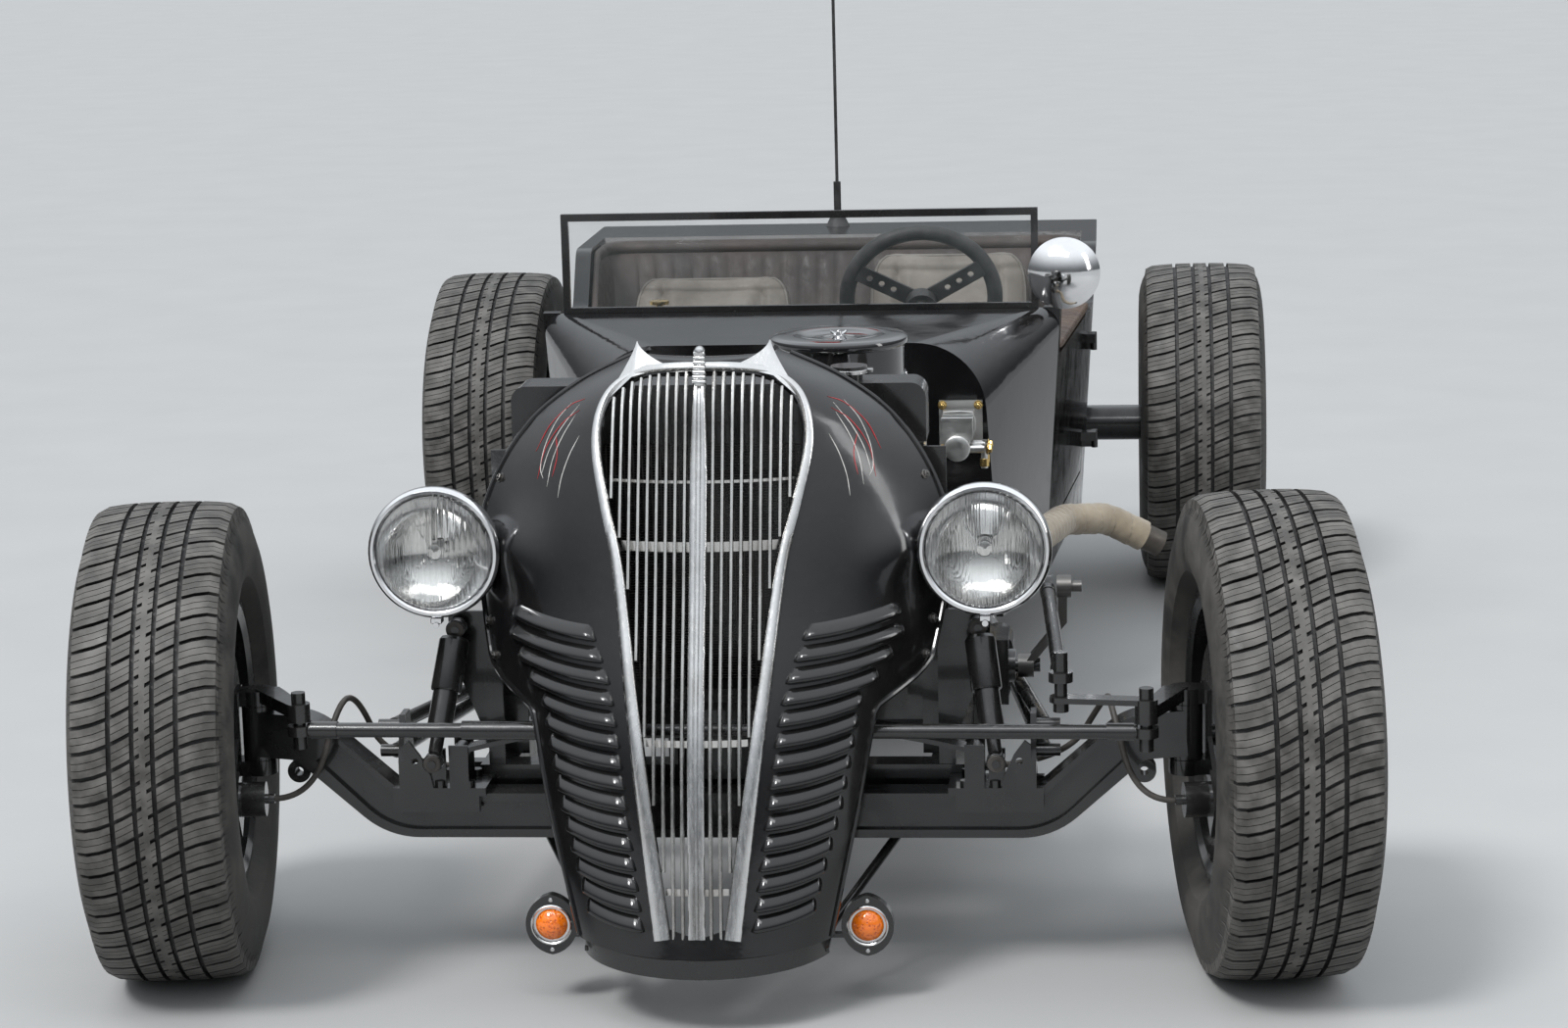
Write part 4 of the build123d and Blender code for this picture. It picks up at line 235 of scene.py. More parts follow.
def paint(name, base, dust, rough=(0.1, 0.3), dust_colour=(0.19, 0.175, 0.155), coat=0.5):
    """Gloss paint, cloudy with fine dust that lies thicker on what faces up."""
    g = Graph(name)
    cloud = g.noise(5.0, 6.0, 0.6)
    speck = g.ramp(g.noise(260.0, 3.0), 0.6, 0.74)
    upper = g.ramp(g.facing_up(), -0.2, 1.0, 0.35, 1.0)
    film = g.maths("MULTIPLY", g.maths("MULTIPLY", g.ramp(cloud, 0.36, 0.72), upper), dust)
    film = g.maths("ADD", film, g.maths("MULTIPLY", speck, dust * 0.7))
    g.colour(g.mix(film, base, dust_colour))
    g.roughness(g.ramp(g.noise(18.0, 5.0), 0.3, 0.75, *rough))
    g.bump(g.noise(42.0, 2.0), 0.05, 0.004)
    g.set(Coat_Weight=coat, Coat_Roughness=0.06, Specular_IOR_Level=0.5)
    return g.material


def metal(name, base, dark, rough, grain=60.0, wear=0.5, stretch=None, bump=0.08):
    """Bare or plated metal with darker stains and a fine grain."""
    g = Graph(name)
    stain = g.ramp(g.noise(9.0, 6.0, 0.6), 0.45, 0.75, 0.0, wear)
    pits = g.ramp(g.cells(180.0), 0.0, 0.22, wear * 0.6, 0)
    g.colour(g.mix(g.maths("MAXIMUM", stain, pits), base, dark))
    g.roughness(g.ramp(g.noise(grain, 5.0, 0.6, stretch), 0.3, 0.75, *rough))
    g.bump(g.noise(grain * 2, 3.0, 0.5, stretch), bump, 0.001)
    g.set(Metallic=1.0)
    return g.material


def tyre_rubber():
    g = Graph("tyre rubber")
    dust = g.ramp(g.noise(14.0, 7.0, 0.65), 0.36, 0.7)
    grit = g.ramp(g.noise(420.0, 3.0), 0.56, 0.7)
    both = g.maths("MAXIMUM", g.maths("MULTIPLY", dust, 0.55), g.maths("MULTIPLY", grit, 0.3))
    g.colour(g.mix(both, (0.03, 0.029, 0.028), (0.135, 0.125, 0.112)))
    g.roughness(g.ramp(dust, 0.0, 1.0, 0.55, 0.92))
    g.bump(g.noise(520.0, 4.0), 0.25, 0.001)
    g.set(Specular_IOR_Level=0.35)
    return g.material


def soft_rubber(name, base):
    g = Graph(name)
    g.colour(g.mix(g.ramp(g.noise(30.0, 5.0), 0.4, 0.7), base, tuple(2.2 * c + 0.02 for c in base)))
    g.roughness(g.ramp(g.noise(60.0, 4.0), 0.3, 0.7, 0.45, 0.75))
    g.bump(g.noise(300.0, 3.0), 0.2, 0.001)
    return g.material


def leather(name, base, dark):
    g = Graph(name)
    worn = g.ramp(g.noise(7.0, 6.0, 0.6), 0.35, 0.7)
    creases = g.ramp(g.cells(420.0, "DISTANCE_TO_EDGE"), 0.0, 0.1)
    g.colour(g.mix(g.maths("MULTIPLY", worn, creases), dark, base))
    g.roughness(g.ramp(g.noise(50.0, 4.0), 0.3, 0.7, 0.34, 0.62))
    g.bump(creases, 0.32, 0.0012)
    g.set(Specular_IOR_Level=0.4)
    return g.material


def woven(name, base, dark, scale, fuzz=0.4):
    """Cloth with crossing threads."""
    g = Graph(name)
    warp = g.wave(scale, 1.2, "X")
    weft = g.wave(scale, 1.2, "Z")
    thread = g.maths("MULTIPLY", warp, weft)
    stain = g.ramp(g.noise(11.0, 6.0), 0.38, 0.72)
    g.colour(g.mix(g.maths("MULTIPLY", g.ramp(thread, 0.0, 0.7, 0.45, 1.0), stain), dark, base))
    g.roughness(g.ramp(thread, 0.0, 1.0, 0.95, 0.78))
    g.bump(thread, 0.5, 0.0015)
    g.set(Sheen_Weight=fuzz, Sheen_Roughness=0.5)
    return g.material


def fluted_glass(name, tint, rough):
    g = Graph(name)
    g.set(Transmission_Weight=1.0, IOR=1.47, Base_Color=(*tint, 1))
    g.roughness(g.ramp(g.noise(12.0, 5.0), 0.4, 0.8, rough, rough + 0.1))
    g.bump(g.wave(38.0, 0.0, "X"), 0.45, 0.004)
    return g.material


def thin_pane(name):
    """Flat glass: almost all passes, with a faint film of dust."""
    g = Graph(name)
    film = g.ramp(g.noise(7.0, 5.0), 0.35, 0.8, 0.05, 0.13)
    g.join(film, g.shader.inputs["Alpha"])
    g.colour(g.mix(film, (0.16, 0.18, 0.18), (0.3, 0.31, 0.31)))
    g.roughness(g.ramp(g.noise(20.0), 0.3, 0.7, 0.02, 0.08))
    return g.material


def lens_plastic(name, base, deep):
    g = Graph(name)
    dots = g.ramp(g.cells(240.0), 0.0, 0.5)
    g.colour(g.mix(dots, deep, base))
    g.bump(dots, 0.6, 0.002)
    g.roughness(g.ramp(g.noise(30.0), 0.3, 0.7, 0.08, 0.2))
    g.set(Coat_Weight=1.0, Coat_Roughness=0.03, Subsurface_Weight=0.15, Subsurface_Scale=0.01)
    return g.material


def flat_paint(name, base):
    g = Graph(name)
    g.colour(g.mix(g.ramp(g.noise(60.0, 5.0), 0.45, 0.75), base, tuple(0.55 * c + 0.02 for c in base)))
    g.roughness(g.ramp(g.noise(40.0, 4.0), 0.3, 0.7, 0.22, 0.42))
    return g.material


BODY_PAINT = paint("body paint", (0.004, 0.004, 0.0045), 0.045, (0.06, 0.2), coat=0.15)
SHELL_PAINT = paint("shell paint", (0.004, 0.004, 0.0045), 0.055, (0.07, 0.24), coat=0.3)
FRAME_PAINT = paint("frame paint", (0.006, 0.006, 0.0065), 0.1, (0.14, 0.38))
ENGINE_PAINT = paint("engine paint", (0.016, 0.016, 0.017), 0.3, (0.3, 0.6), coat=0.1)
BLACK_ENAMEL = paint("black enamel", (0.006, 0.006, 0.007), 0.08, (0.05, 0.16), coat=1.0)
CHROME = metal("chrome", (0.78, 0.78, 0.79), (0.32, 0.29, 0.25), (0.05, 0.16), wear=0.28, bump=0.03)
POLISHED = metal("polished trim", (0.7, 0.7, 0.7), (0.28, 0.25, 0.21), (0.14, 0.34), wear=0.45,
                 stretch=(4, 4, 0.4))
BARS = metal("grille bars", (0.64, 0.63, 0.61), (0.16, 0.13, 0.11), (0.14, 0.34), wear=0.6,
             stretch=(4, 4, 0.4))
ALUMINIUM = metal("aluminium", (0.55, 0.55, 0.54), (0.2, 0.19, 0.17), (0.28, 0.5), wear=0.5)
STEEL = metal("dark steel", (0.15, 0.145, 0.14), (0.05, 0.04, 0.03), (0.25, 0.5), wear=0.7)
BRASS = metal("brass", (0.62, 0.44, 0.17), (0.22, 0.14, 0.06), (0.18, 0.38), wear=0.5)
SOOTY = metal("sooty steel", (0.1, 0.09, 0.08), (0.03, 0.025, 0.02), (0.4, 0.7), wear=0.8)
TYRE = tyre_rubber()
# Near-black groove floors: painted shade in the tread's grooves, darker than the tyre's own rubber
TREAD_GROOVE_SHADE = soft_rubber("tread groove shade", (0.007, 0.006, 0.006))
TREAD_FACE = soft_rubber("worn tread", (0.048, 0.045, 0.041))
HOSE = soft_rubber("hose rubber", (0.035, 0.03, 0.026))
PLASTIC = soft_rubber("black plastic", (0.012, 0.012, 0.012))
LINING = leather("lining leather", (0.06, 0.043, 0.036), (0.02, 0.014, 0.012))
SEAT_LEATHER = leather("seat leather", (0.25, 0.225, 0.195), (0.11, 0.095, 0.08))
PAD_LEATHER = leather("pad leather", (0.13, 0.075, 0.045), (0.05, 0.03, 0.02))
WRAP = woven("exhaust wrap", (0.46, 0.39, 0.29), (0.2, 0.16, 0.11), 260.0)
FLAG_RED = woven("flag cloth", (0.62, 0.016, 0.014), (0.4, 0.008, 0.008), 420.0, 0.2)
GLASS = thin_pane("pane glass")
LENS = fluted_glass("lamp glass", (0.97, 0.97, 0.95), 0.01)
AMBER = lens_plastic("amber lens", (0.9, 0.2, 0.008), (0.5, 0.06, 0.004))
RED_LENS = lens_plastic("red lens", (0.55, 0.012, 0.01), (0.22, 0.004, 0.004))

NODE_FINISH = {}
for finish, names in (
    (FRAME_PAINT, "rail_left rail_right cross_members front_axle front_links front_spring dampers "
     "steering_column rear_axle rear_links radiator shell_band turn_signals windscreen_frame knuckle_left "
     "knuckle_right tie_rod drag_link wheel_front_left wheel_front_right wheel_rear_left wheel_rear_right"),
    (BODY_PAINT, "body_tub dashboard door_left door_right"),
    (SHELL_PAINT, "grille_shell louvres"),
    (ENGINE_PAINT, "engine_block cylinder_head"),
    (BLACK_ENAMEL, "air_cleaner"),
    (ALUMINIUM, "intake brake_cylinder"),
    (STEEL, "front_drive pitman_arm"),
    (SOOTY, "exhaust_header"),
    (WRAP, "exhaust_wrap"),
    (BARS, "grille_bars"),
    (POLISHED, "grille_trim"),
    (CHROME, "headlamps mirror"),
    (LENS, "headlamp_lenses"),
    (AMBER, "signal_lenses"),
    (RED_LENS, "tail_lamps"),
    (GLASS, "windscreen_glass"),
    (SEAT_LEATHER, "seats"),
    (LINING, "cabin_lining"),
    (PAD_LEATHER, "door_pad_left door_pad_right"),
    (BRASS, "brass_valve"),
    (FLAG_RED, "flag"),
    (PLASTIC, "antenna steering_wheel"),
    (HOSE, "radiator_hose brake_hose_left brake_hose_right"),
    (TYRE, "tyre_front_left tyre_front_right tyre_rear_left tyre_rear_right"),
):
    for name in names.split():
        NODE_FINISH[name] = finish
for name, node in NODES.items():
    node.data.materials.clear()
    node.data.materials.append(NODE_FINISH[name])


def mesh_object(name, verts, faces, finish, angle):
    """Smooth piece whose edges are sharp beyond an angle in degrees."""
    mesh = bpy.data.meshes.new(name)
    mesh.from_pydata(verts, [], faces)
    mesh.materials.append(finish)
    mesh.validate()
    mesh.shade_smooth()
    mesh.set_sharp_from_angle(angle=radians(angle))
    return link(bpy.data.objects.new(name, mesh))


def steps(low, high, count):
    return [low + (high - low) * i / (count - 1) for i in range(count)]


def signed_power(value, power):
    return copysign(abs(value) ** power, value)


def mirror(point, side):
    """Point on the car's left where side is 1, its mirror image where side is -1."""
    return Vector((side * point.x, point.y, point.z))


def both_sides(half):
    """Outline of (across, out) pairs: its left half, then that half mirrored."""
    return half + tuple((-across, out) for across, out in reversed(half) if across)


def sleeve(end_r, r, ease, length):
    """Outline of a turned sleeve with eased ends."""
    return (end_r, 0), (r, ease), (r, length - ease), (end_r, length)


def carried(points):
    """Each point with two crosswise directions, carried along without twist."""
    side = None
    for i, point in enumerate(points):
        ahead = (points[min(i + 1, len(points) - 1)] - points[max(i - 1, 0)]).normalized()
        side = ahead.orthogonal() if side is None else side - ahead * side.dot(ahead)
        side.normalize()
        yield point, side, ahead.cross(side)


def circle(count):
    return [2 * pi * i / count for i in range(count)]


# Outlines of a washer and a nut, as multiples of the bolt's radius
WASHER = ((1.55, 0), (1.55, 0.18), (1.4, 0.24))
NUT = ((1.1, 0.2), (1.18, 0.3), (1.18, 1), (1, 1.14))


class Form:
    """Faces gathered from skins, turned shapes and bars into one mesh."""

    def __init__(self):
        self.verts = []
        self.faces = []

    def grid(self, rows, wrap=False, caps=False):
        """Skin over rows of points, each row closed on itself where wrap is set."""
        base = len(self.verts)
        count = len(rows[0])
        for row in rows:
            self.verts.extend(tuple(point) for point in row)
        for i in range(len(rows) - 1):
            for j in range(count if wrap else count - 1):
                k = (j + 1) % count
                a = base + i * count
                self.faces.append((a + j, a + k, a + count + k, a + count + j))
        if caps:
            top = base + (len(rows) - 1) * count
            self.faces.append(tuple(range(base + count - 1, base - 1, -1)))
            self.faces.append(tuple(range(top, top + count)))

    def lathe(self, at, axis, outline, count=28):
        """Turned shape from pairs of radius and distance along its axis."""
        spin = Vector(axis).to_track_quat("Z", "Y")
        rows = []
        for r, far in outline:
            r = max(r, 1e-5)
            ring = [Vector((r * cos(a), r * sin(a), far)) for a in circle(count)]
            rows.append([Vector(at) + spin @ point for point in ring])
        self.grid(rows, wrap=True, caps=True)

    def tube(self, points, radius, count=10):
        """Round bar through points."""
        rows = []
        for p, side, other in carried([Vector(point) for point in points]):
            rows.append([p + radius * (cos(a) * side + sin(a) * other) for a in circle(count)])
        self.grid(rows, wrap=True, caps=True)

    def strip(self, frames, profile):
        """Bar whose outline of (across, out) pairs follows frames of (point, across, out, scale)."""
        rows = []
        for point, across, out, scale in frames:
            rows.append([point + across * (w * scale[0]) + out * (h * scale[1]) for w, h in profile])
        self.grid(rows, wrap=True, caps=True)

    def box(self, at, size, axes=(X, Y, Z)):
        """Block about a point, its edges eased by a small bevel."""
        hx, hy, hz = (s / 2 for s in size)
        ease = min(hx, hy, hz) * 0.25
        rows = []
        for h, inset in ((-hz, ease), (-hz + ease, 0), (hz - ease, 0), (hz, ease)):
            x = hx - inset
            y = hy - inset
            half = [(x - ease, -y), (x, -y + ease), (x, y - ease), (x - ease, y)]
            ring = half + [(-a, -b) for a, b in half]
            rows.append([Vector(at) + axes[0] * a + axes[1] * b + axes[2] * h for a, b in ring])
        self.grid(rows, wrap=True, caps=True)

    def nut(self, at, axis, r, stud=0.0):
        """Washer and six-sided nut, with a stud's rounded end where asked for."""
        for outline, count in ((WASHER, 20), (NUT, 6)):
            self.lathe(at, axis, [(wide * r, far * r) for wide, far in outline], count)
        if stud:
            self.lathe(at, axis, ((0.55 * r, r), (0.55 * r, r + stud), (0.35 * r, 1.15 * r + stud)), 12)

    def make(self, name, finish, replaces=(), angle=35, body="chassis"):
        """Piece of these faces that rides on a body and stands for the replaced nodes."""
        piece = mesh_object(name, self.verts, self.faces, finish, angle)
        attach(piece, body)
        if replaces:
            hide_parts(*replaces)
        return piece


def smooth(table, at):
    """Value at a place on a smooth curve through the rows of a table of (place, value)."""
    at = min(max(at, table[0][0]), table[-1][0])
    slopes = []
    for i in range(len(table)):
        low = table[max(i - 1, 0)]
        high = table[min(i + 1, len(table) - 1)]
        slopes.append((high[1] - low[1]) / (high[0] - low[0]))
    i = 0
    while i < len(table) - 2 and at > table[i + 1][0]:
        i += 1
    (a0, v0), (a1, v1) = table[i], table[i + 1]
    h = a1 - a0
    t = (at - a0) / h
    start = (2 * t ** 3 - 3 * t ** 2 + 1) * v0 + (t ** 3 - 2 * t ** 2 + t) * h * slopes[i]
    return start + (3 * t ** 2 - 2 * t ** 3) * v1 + (t ** 3 - t ** 2) * h * slopes[i + 1]


# Tyres with a cut tread, about the X axis with the outer side to +X

TREAD_DEPTH = 0.0075
# Fractions of the tread's half width: edge, is it cut down, do the cross grooves reach it
TREAD_RINGS = (
    (1.0, 0, 1), (0.78, 0, 1), (0.575, 0, 1), (0.575, 1, 0), (0.495, 1, 0), (0.495, 0, 1), (0.34, 0, 1),
    (0.2, 0, 1), (0.2, 1, 0), (0.125, 1, 0), (0.125, 0, 1), (0.055, 0, 1), (0.045, 0, 0), (0, 0, 0),
)
# Fractions of a tread pitch: place, share of the depth that is cut down; a groove, then two thin sipes
PITCH_COLUMNS = (
    (0, 0.86), (0.15, 0.86), (0.15, 0), (0.42, 0), (0.42, 0.4), (0.45, 0.4), (0.45, 0),
    (0.7, 0), (0.7, 0.4), (0.73, 0.4), (0.73, 0), (0.985, 0),
)
PITCHES = 60
# How far the cross cuts slant, in tread pitches
LEAN = 0.98
# The tread's shoulder: its height above the sidewall, and how far down its cross grooves run
SHOULDER = 0.024
SHOULDER_CUT = 0.7
# Faces deeper than this share of the tread take a near-black painted shade
GROOVE_SHADE_FROM = 0.38
TYRE_ANGLE = 32


def wheel_place(end, side):
    """A wheel's place in the scene, its outer side to +X of its own frame."""
    if end == "front":
        at = (side * (KINGPIN_X + SPINDLE_X * cos(STEER)), AX + side * SPINDLE_X * sin(STEER), FRONT_R)
        turn = STEER
    else:
        at = (side * REAR_X, REAR_Y, REAR_R)
        turn = 0
    return Matrix.Translation(at) @ Matrix.Rotation(turn if side > 0 else turn + pi, 4, "Z")


def tyre_mesh(name, radius, half, tread, bead):
    """Tyre by its radius, half width, half tread width and the bead's place."""
    rings = []
    side = [
        (bead, 0.1908), (bead, 0.213), (bead + 0.01, 0.217), (half - 0.006, 0.235), (half - 0.001, 0.25),
        (half, radius - 0.08), (half - 0.0005, radius - 0.066), (half - 0.0035, radius - 0.048),
        (half - 0.008, radius - 0.034), (half - 0.013, radius - SHOULDER), (tread + 0.013, radius - 0.011),
    ]
    for x, r in side:
        rings.append((x, r, 0.0, SHOULDER_CUT if r >= radius - SHOULDER else 0.0))
    for frac, down, cross in TREAD_RINGS:
        crown = radius - 0.0045 * frac ** 3
        rings.append((tread * frac, crown, TREAD_DEPTH * down, cross))
    rings += [(-x, r, down, cross) for x, r, down, cross in reversed(rings[:-1])]
    columns = [(pitch + frac, cut) for pitch in range(PITCHES) for frac, cut in PITCH_COLUMNS]
    form = Form()
    rows = []
    depths = []
    for x, r, down, cross in rings:
        lean = LEAN * sin(1.35 * max(-1.15, min(1.15, x / tread)))
        flip = 0.5 if x < 0 else 0.0
        row = []
        for at, cut in columns:
            depth = TREAD_DEPTH * cut * cross if cross and cut else down
            turn = (at + lean + flip) / PITCHES * 2 * pi
            row.append((x, (r - depth) * sin(turn), (r - depth) * cos(turn)))
            depths.append(depth)
        rows.append(row)
    form.grid(rows, wrap=True)
    piece = mesh_object(name, form.verts, form.faces, TYRE, TYRE_ANGLE)
    piece.data.materials.append(TREAD_GROOVE_SHADE)
    piece.data.materials.append(TREAD_FACE)
    for face in piece.data.polygons:
        mean = sum(depths[i] for i in face.vertices) / len(face.vertices)
        # Groove faces take the painted shade; unworn crown faces take the lighter worn rubber
        if mean > GROOVE_SHADE_FROM * TREAD_DEPTH:
            face.material_index = 1
        elif mean == 0.0 and face.center.yz.length > radius - SHOULDER:
            face.material_index = 2
    return piece


SIDES = (("left", 1), ("right", -1))
# Radius, half width, half tread width, bead
TYRE_SIZES = {"front": (FRONT_R, 0.114, FRONT_TREAD, 0.075), "rear": (REAR_R, 0.131, 0.103, 0.09)}
for side_name, side in SIDES:
    for end, size in TYRE_SIZES.items():
        piece = tyre_mesh(f"tyre_{end}_dressed_{side_name}", *size)
        piece.matrix_world = wheel_place(end, side)
        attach(piece, f"wheel_{end}_{side_name}")
        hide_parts(f"tyre_{end}_{side_name}")


# Grille shell as one smooth skin through the CAD's outlines

SHELL_HALF = [(row[0], row[1]) for row in SHELL_ROWS]
SHELL_NOSE = [(row[0], row[2]) for row in SHELL_ROWS]
SHELL_BACK = [(row[0], row[3]) for row in SHELL_ROWS]
SHELL_TOP = 0.906
OPENING_FOOT = 0.142
OPENING_TOP = 0.893
# Edge of the grille opening: half width, z
OPENING = mm((37, 142), (60, 305), (83, 468), (106, 630), (127, 715), (141.5, 780), (141, 822), (128, 854),
             (102, 875), (72, 886), (36, 891.5), (0, 893))
# The shell's side is cut back along these: z, half width
SIDE_CUT = mm((80, 168), (300, 216), (430, 240), (462, 300), (490, 324), (520, 345))
SIDE_CUT_TOP = 0.515
# Bulge beside the grille: half width, z, height, spread across and upwards
BULGE_X, BULGE_Z, BULGE_H = 0.268, 0.64, 0.016
BULGE_WIDE, BULGE_TALL = 0.04, 0.05
WALL = 0.005


def shell_arc(z):
    """Nose, radius and end angle of the shell's level arc."""
    half = smooth(SHELL_HALF, z)
    nose = smooth(SHELL_NOSE, z)
    depth = smooth(SHELL_BACK, z) - nose
    r = (half ** 2 + depth ** 2) / (2 * depth)
    return nose, r, atan2(half, r - depth)


def shell_point(z, turn):
    """Point of the shell's face, by height and angle from the nose."""
    nose, r, end = shell_arc(z)
    x = r * sin(turn)
    y = AX + nose + r - r * cos(turn)
    rise = BULGE_H * exp(-((abs(x) - BULGE_X) / BULGE_WIDE) ** 2 - ((z - BULGE_Z) / BULGE_TALL) ** 2)
    return Vector((x + rise * sin(turn), y - rise * cos(turn), z))


def shell_turn(z, x):
    nose, r, end = shell_arc(z)
    return asin(max(-1.0, min(1.0, x / r)))


def shell_at(x, z):
    return shell_point(z, shell_turn(z, x))


def on_shell(x, z):
    """Point and outward normal of the shell's face, by its place seen from the front."""
    turn = shell_turn(z, x)
    return shell_point(z, turn), shell_normal(z, turn)


def shell_normal(z, turn):
    across = shell_point(z, turn + 0.01) - shell_point(z, turn - 0.01)
    up = shell_point(min(z + 0.004, SHELL_TOP), turn) - shell_point(z - 0.004, turn)
    return across.cross(up).normalized()


def curve_through(places, count):
    """Points (x, z) on a smooth curve through places."""
    xs = [(i, p[0]) for i, p in enumerate(places)]
    zs = [(i, p[1]) for i, p in enumerate(places)]
    return [(smooth(xs, at), smooth(zs, at)) for at in steps(0, len(places) - 1, count)]


OPENING_EDGE = sorted((z, x) for x, z in curve_through(OPENING, 120))


def opening_half(z):
    return 0.0 if z <= OPENING_FOOT or z >= OPENING_TOP else max(0, along(OPENING_EDGE, z))


def shell_end(z):
    """Angle at which the shell's side ends."""
    nose, r, end = shell_arc(z)
    if z < SIDE_CUT_TOP:
        end = min(end, shell_turn(z, along(SIDE_CUT, z)))
    return end


def shell_skin(form, levels, side):
    """Shell wall on one side, outer and inner face closed along both edges."""
    rows = []
    for z in levels:
        turns = steps(shell_turn(z, opening_half(z)), shell_end(z), 30)
        outer = [shell_point(z, t) for t in turns]
        behind = [p - WALL * shell_normal(z, t) for p, t in zip(outer, turns)]
        rows.append([mirror(p, side) for p in outer + behind[::-1]])
    if side < 0:
        rows = [row[::-1] for row in rows]
    form.grid(rows, wrap=True, caps=True)


shell = Form()
main_levels = steps(OPENING_FOOT, 0.78, 50)
main_levels += [OPENING_TOP - 0.104 * (1 - t) ** 2 for t in steps(0.1, 1.0, 20)]
main_levels += steps(0.895, SHELL_TOP, 4)
for side in (1, -1):
    shell_skin(shell, main_levels, side)
    shell_skin(shell, steps(SHELL_ROWS[0][0], OPENING_FOOT, 5), side)
crown_turns = steps(-shell_end(SHELL_TOP), shell_end(SHELL_TOP), 41)
crown_back = AX + smooth(SHELL_BACK, SHELL_TOP)
crown_rows = []
crown_edge = [shell_point(SHELL_TOP, t) for t in crown_turns]
for f in steps(0, 1.0, 9):
    rise = 0.004 * sin(f * pi) - 0.034 * f * f
    crown_rows.append([(p.x, p.y + (crown_back - p.y) * f, p.z + rise) for p in crown_edge])
shell.grid(crown_rows)
shell.make("grille_shell_dressed", SHELL_PAINT, ("grille_shell",), 50)

# Wired edge and bolts along the shell's sides
BOLT_HEIGHTS = (0.485, 0.53, 0.575, 0.62, 0.665, 0.725)
edging = Form()
bolts = Form()
for side in (1, -1):
    edging.tube([mirror(shell_point(z, shell_end(z)), side) for z in steps(0.118, 0.895, 90)], 0.0042, 8)
    for z in BOLT_HEIGHTS:
        turn = shell_end(z) - 0.055
        bolts.nut(mirror(shell_point(z, turn), side), mirror(shell_normal(z, turn), side), 0.0048, 0.002)
edging.make("shell_edging", SHELL_PAINT)
bolts.make("shell_bolts", STEEL)

# Bars, half round, with the curved braces behind them
bars = Form()
BAR_PROFILE = both_sides(mm((-2.7, -7.5), (-2.7, -1.4), (-1.7, 0.6), (0, 1.2)))
BAR_FIRST = 0.0195
BAR_PITCH = 0.0132
BAR_ROOM = 0.0028
BARS_A_SIDE = 9
# Height of a brace, its own height and half length
BRACES = mm((748, 4, 137), (662, 14, 112), (405, 10, 72), (205, 10, 45))
opening_edge = curve_through(OPENING, 240)
for i in range(BARS_A_SIDE):
    x = BAR_FIRST + BAR_PITCH * i
    reach = x + BAR_ROOM
    inside = [z for half, z in opening_edge if half > reach]
    for side in (1, -1):
        frames = []
        for z in steps(min(inside) if reach > OPENING[0][0] else OPENING_FOOT, max(inside), 34):
            p, n = on_shell(x, z)
            out = Vector((0, n.y, n.z)).normalized()
            frames.append((Vector((side * x, p.y + 0.001, z)), X, out, (1, 1)))
        bars.strip(frames, BAR_PROFILE)
for z, height, half in BRACES:
    frames = []
    for x in steps(-half, half, 25):
        p, n = on_shell(x, z)
        frames.append((p - 0.0095 * n, Z, n, (1, 1)))
    bars.strip(frames, both_sides(((-height / 2, -0.0015), (-height / 2, 0.0015))))
bars.make("grille_bars_dressed", BARS, ("grille_bars",))

# Surround, centre bar with its groove, ribbed ornament and two pointed caps
trim = Form()
SURROUND = both_sides(((-0.5, -0.002), (-0.5, 0.002), (-0.38, 0.0052), (0, 0.0068)))
right_path = curve_through(OPENING, 110)
whole_path = right_path + [(-x, z) for x, z in reversed(right_path[:-1])]
frames = []
for i, (x, z) in enumerate(whole_path):
    before = whole_path[max(i - 1, 0)]
    after = whole_path[min(i + 1, len(whole_path) - 1)]
    dx = after[0] - before[0]
    dz = after[1] - before[1]
    size = sqrt(dx * dx + dz * dz) or 1.0
    away = Vector((dz / size, 0, -dx / size))
    width = 0.024 - 0.012 * min(1.0, max(0, (z - OPENING_FOOT) / 0.7))
    at_x = x + away.x * width / 2
    at_z = min(z + away.z * width / 2, SHELL_TOP - 0.004)
    p, n = on_shell(at_x, at_z)
    frames.append((p, (away - n * away.dot(n)).normalized(), n, (width, 1)))
trim.strip(frames, SURROUND)
CENTRE_LEFT = mm((-11.5, -6), (-11.5, 3.5), (-8.8, 6.2), (-4.5, 6.6), (-1.6, 2.5))
CENTRE = both_sides(CENTRE_LEFT)
frames = []
for z in steps(OPENING_FOOT + 0.001, OPENING_TOP, 70):
    # The bar narrows towards its top
    wide = 0.62 + 0.38 * min(1, (0.9 - z) / 0.12)
    frames.append((shell_point(z, 0), X, shell_normal(z, 0), (wide, 1)))
trim.strip(frames, CENTRE)
# Ribbed ornament at the top of the centre bar
ORNAMENT_Z = 0.874
ORNAMENT_TIP = mm((0, -6), (6, -3), (7.6, 2), (7, 12), (3.5, 24), (0, 28))
ornament_foot = shell_point(ORNAMENT_Z, 0) + shell_normal(ORNAMENT_Z, 0) * 0.0045
ornament_up = Vector((0, 0.3, 0.954))
ornament_axes = (X, ornament_up, X.cross(ornament_up))
trim.box(ornament_foot + ornament_up * 0.024, (0.0125, 0.052, 0.0105), ornament_axes)
for i in range(7):
    size = 0.0185 - 0.0005 * i
    trim.box(ornament_foot + ornament_up * (0.003 + 0.0066 * i), (size, 0.0044, 0.0165), ornament_axes)
trim.lathe(ornament_foot + ornament_up * 0.046 + Vector((0, -0.006, 0)), (0, 1, 0.1), ORNAMENT_TIP, 18)
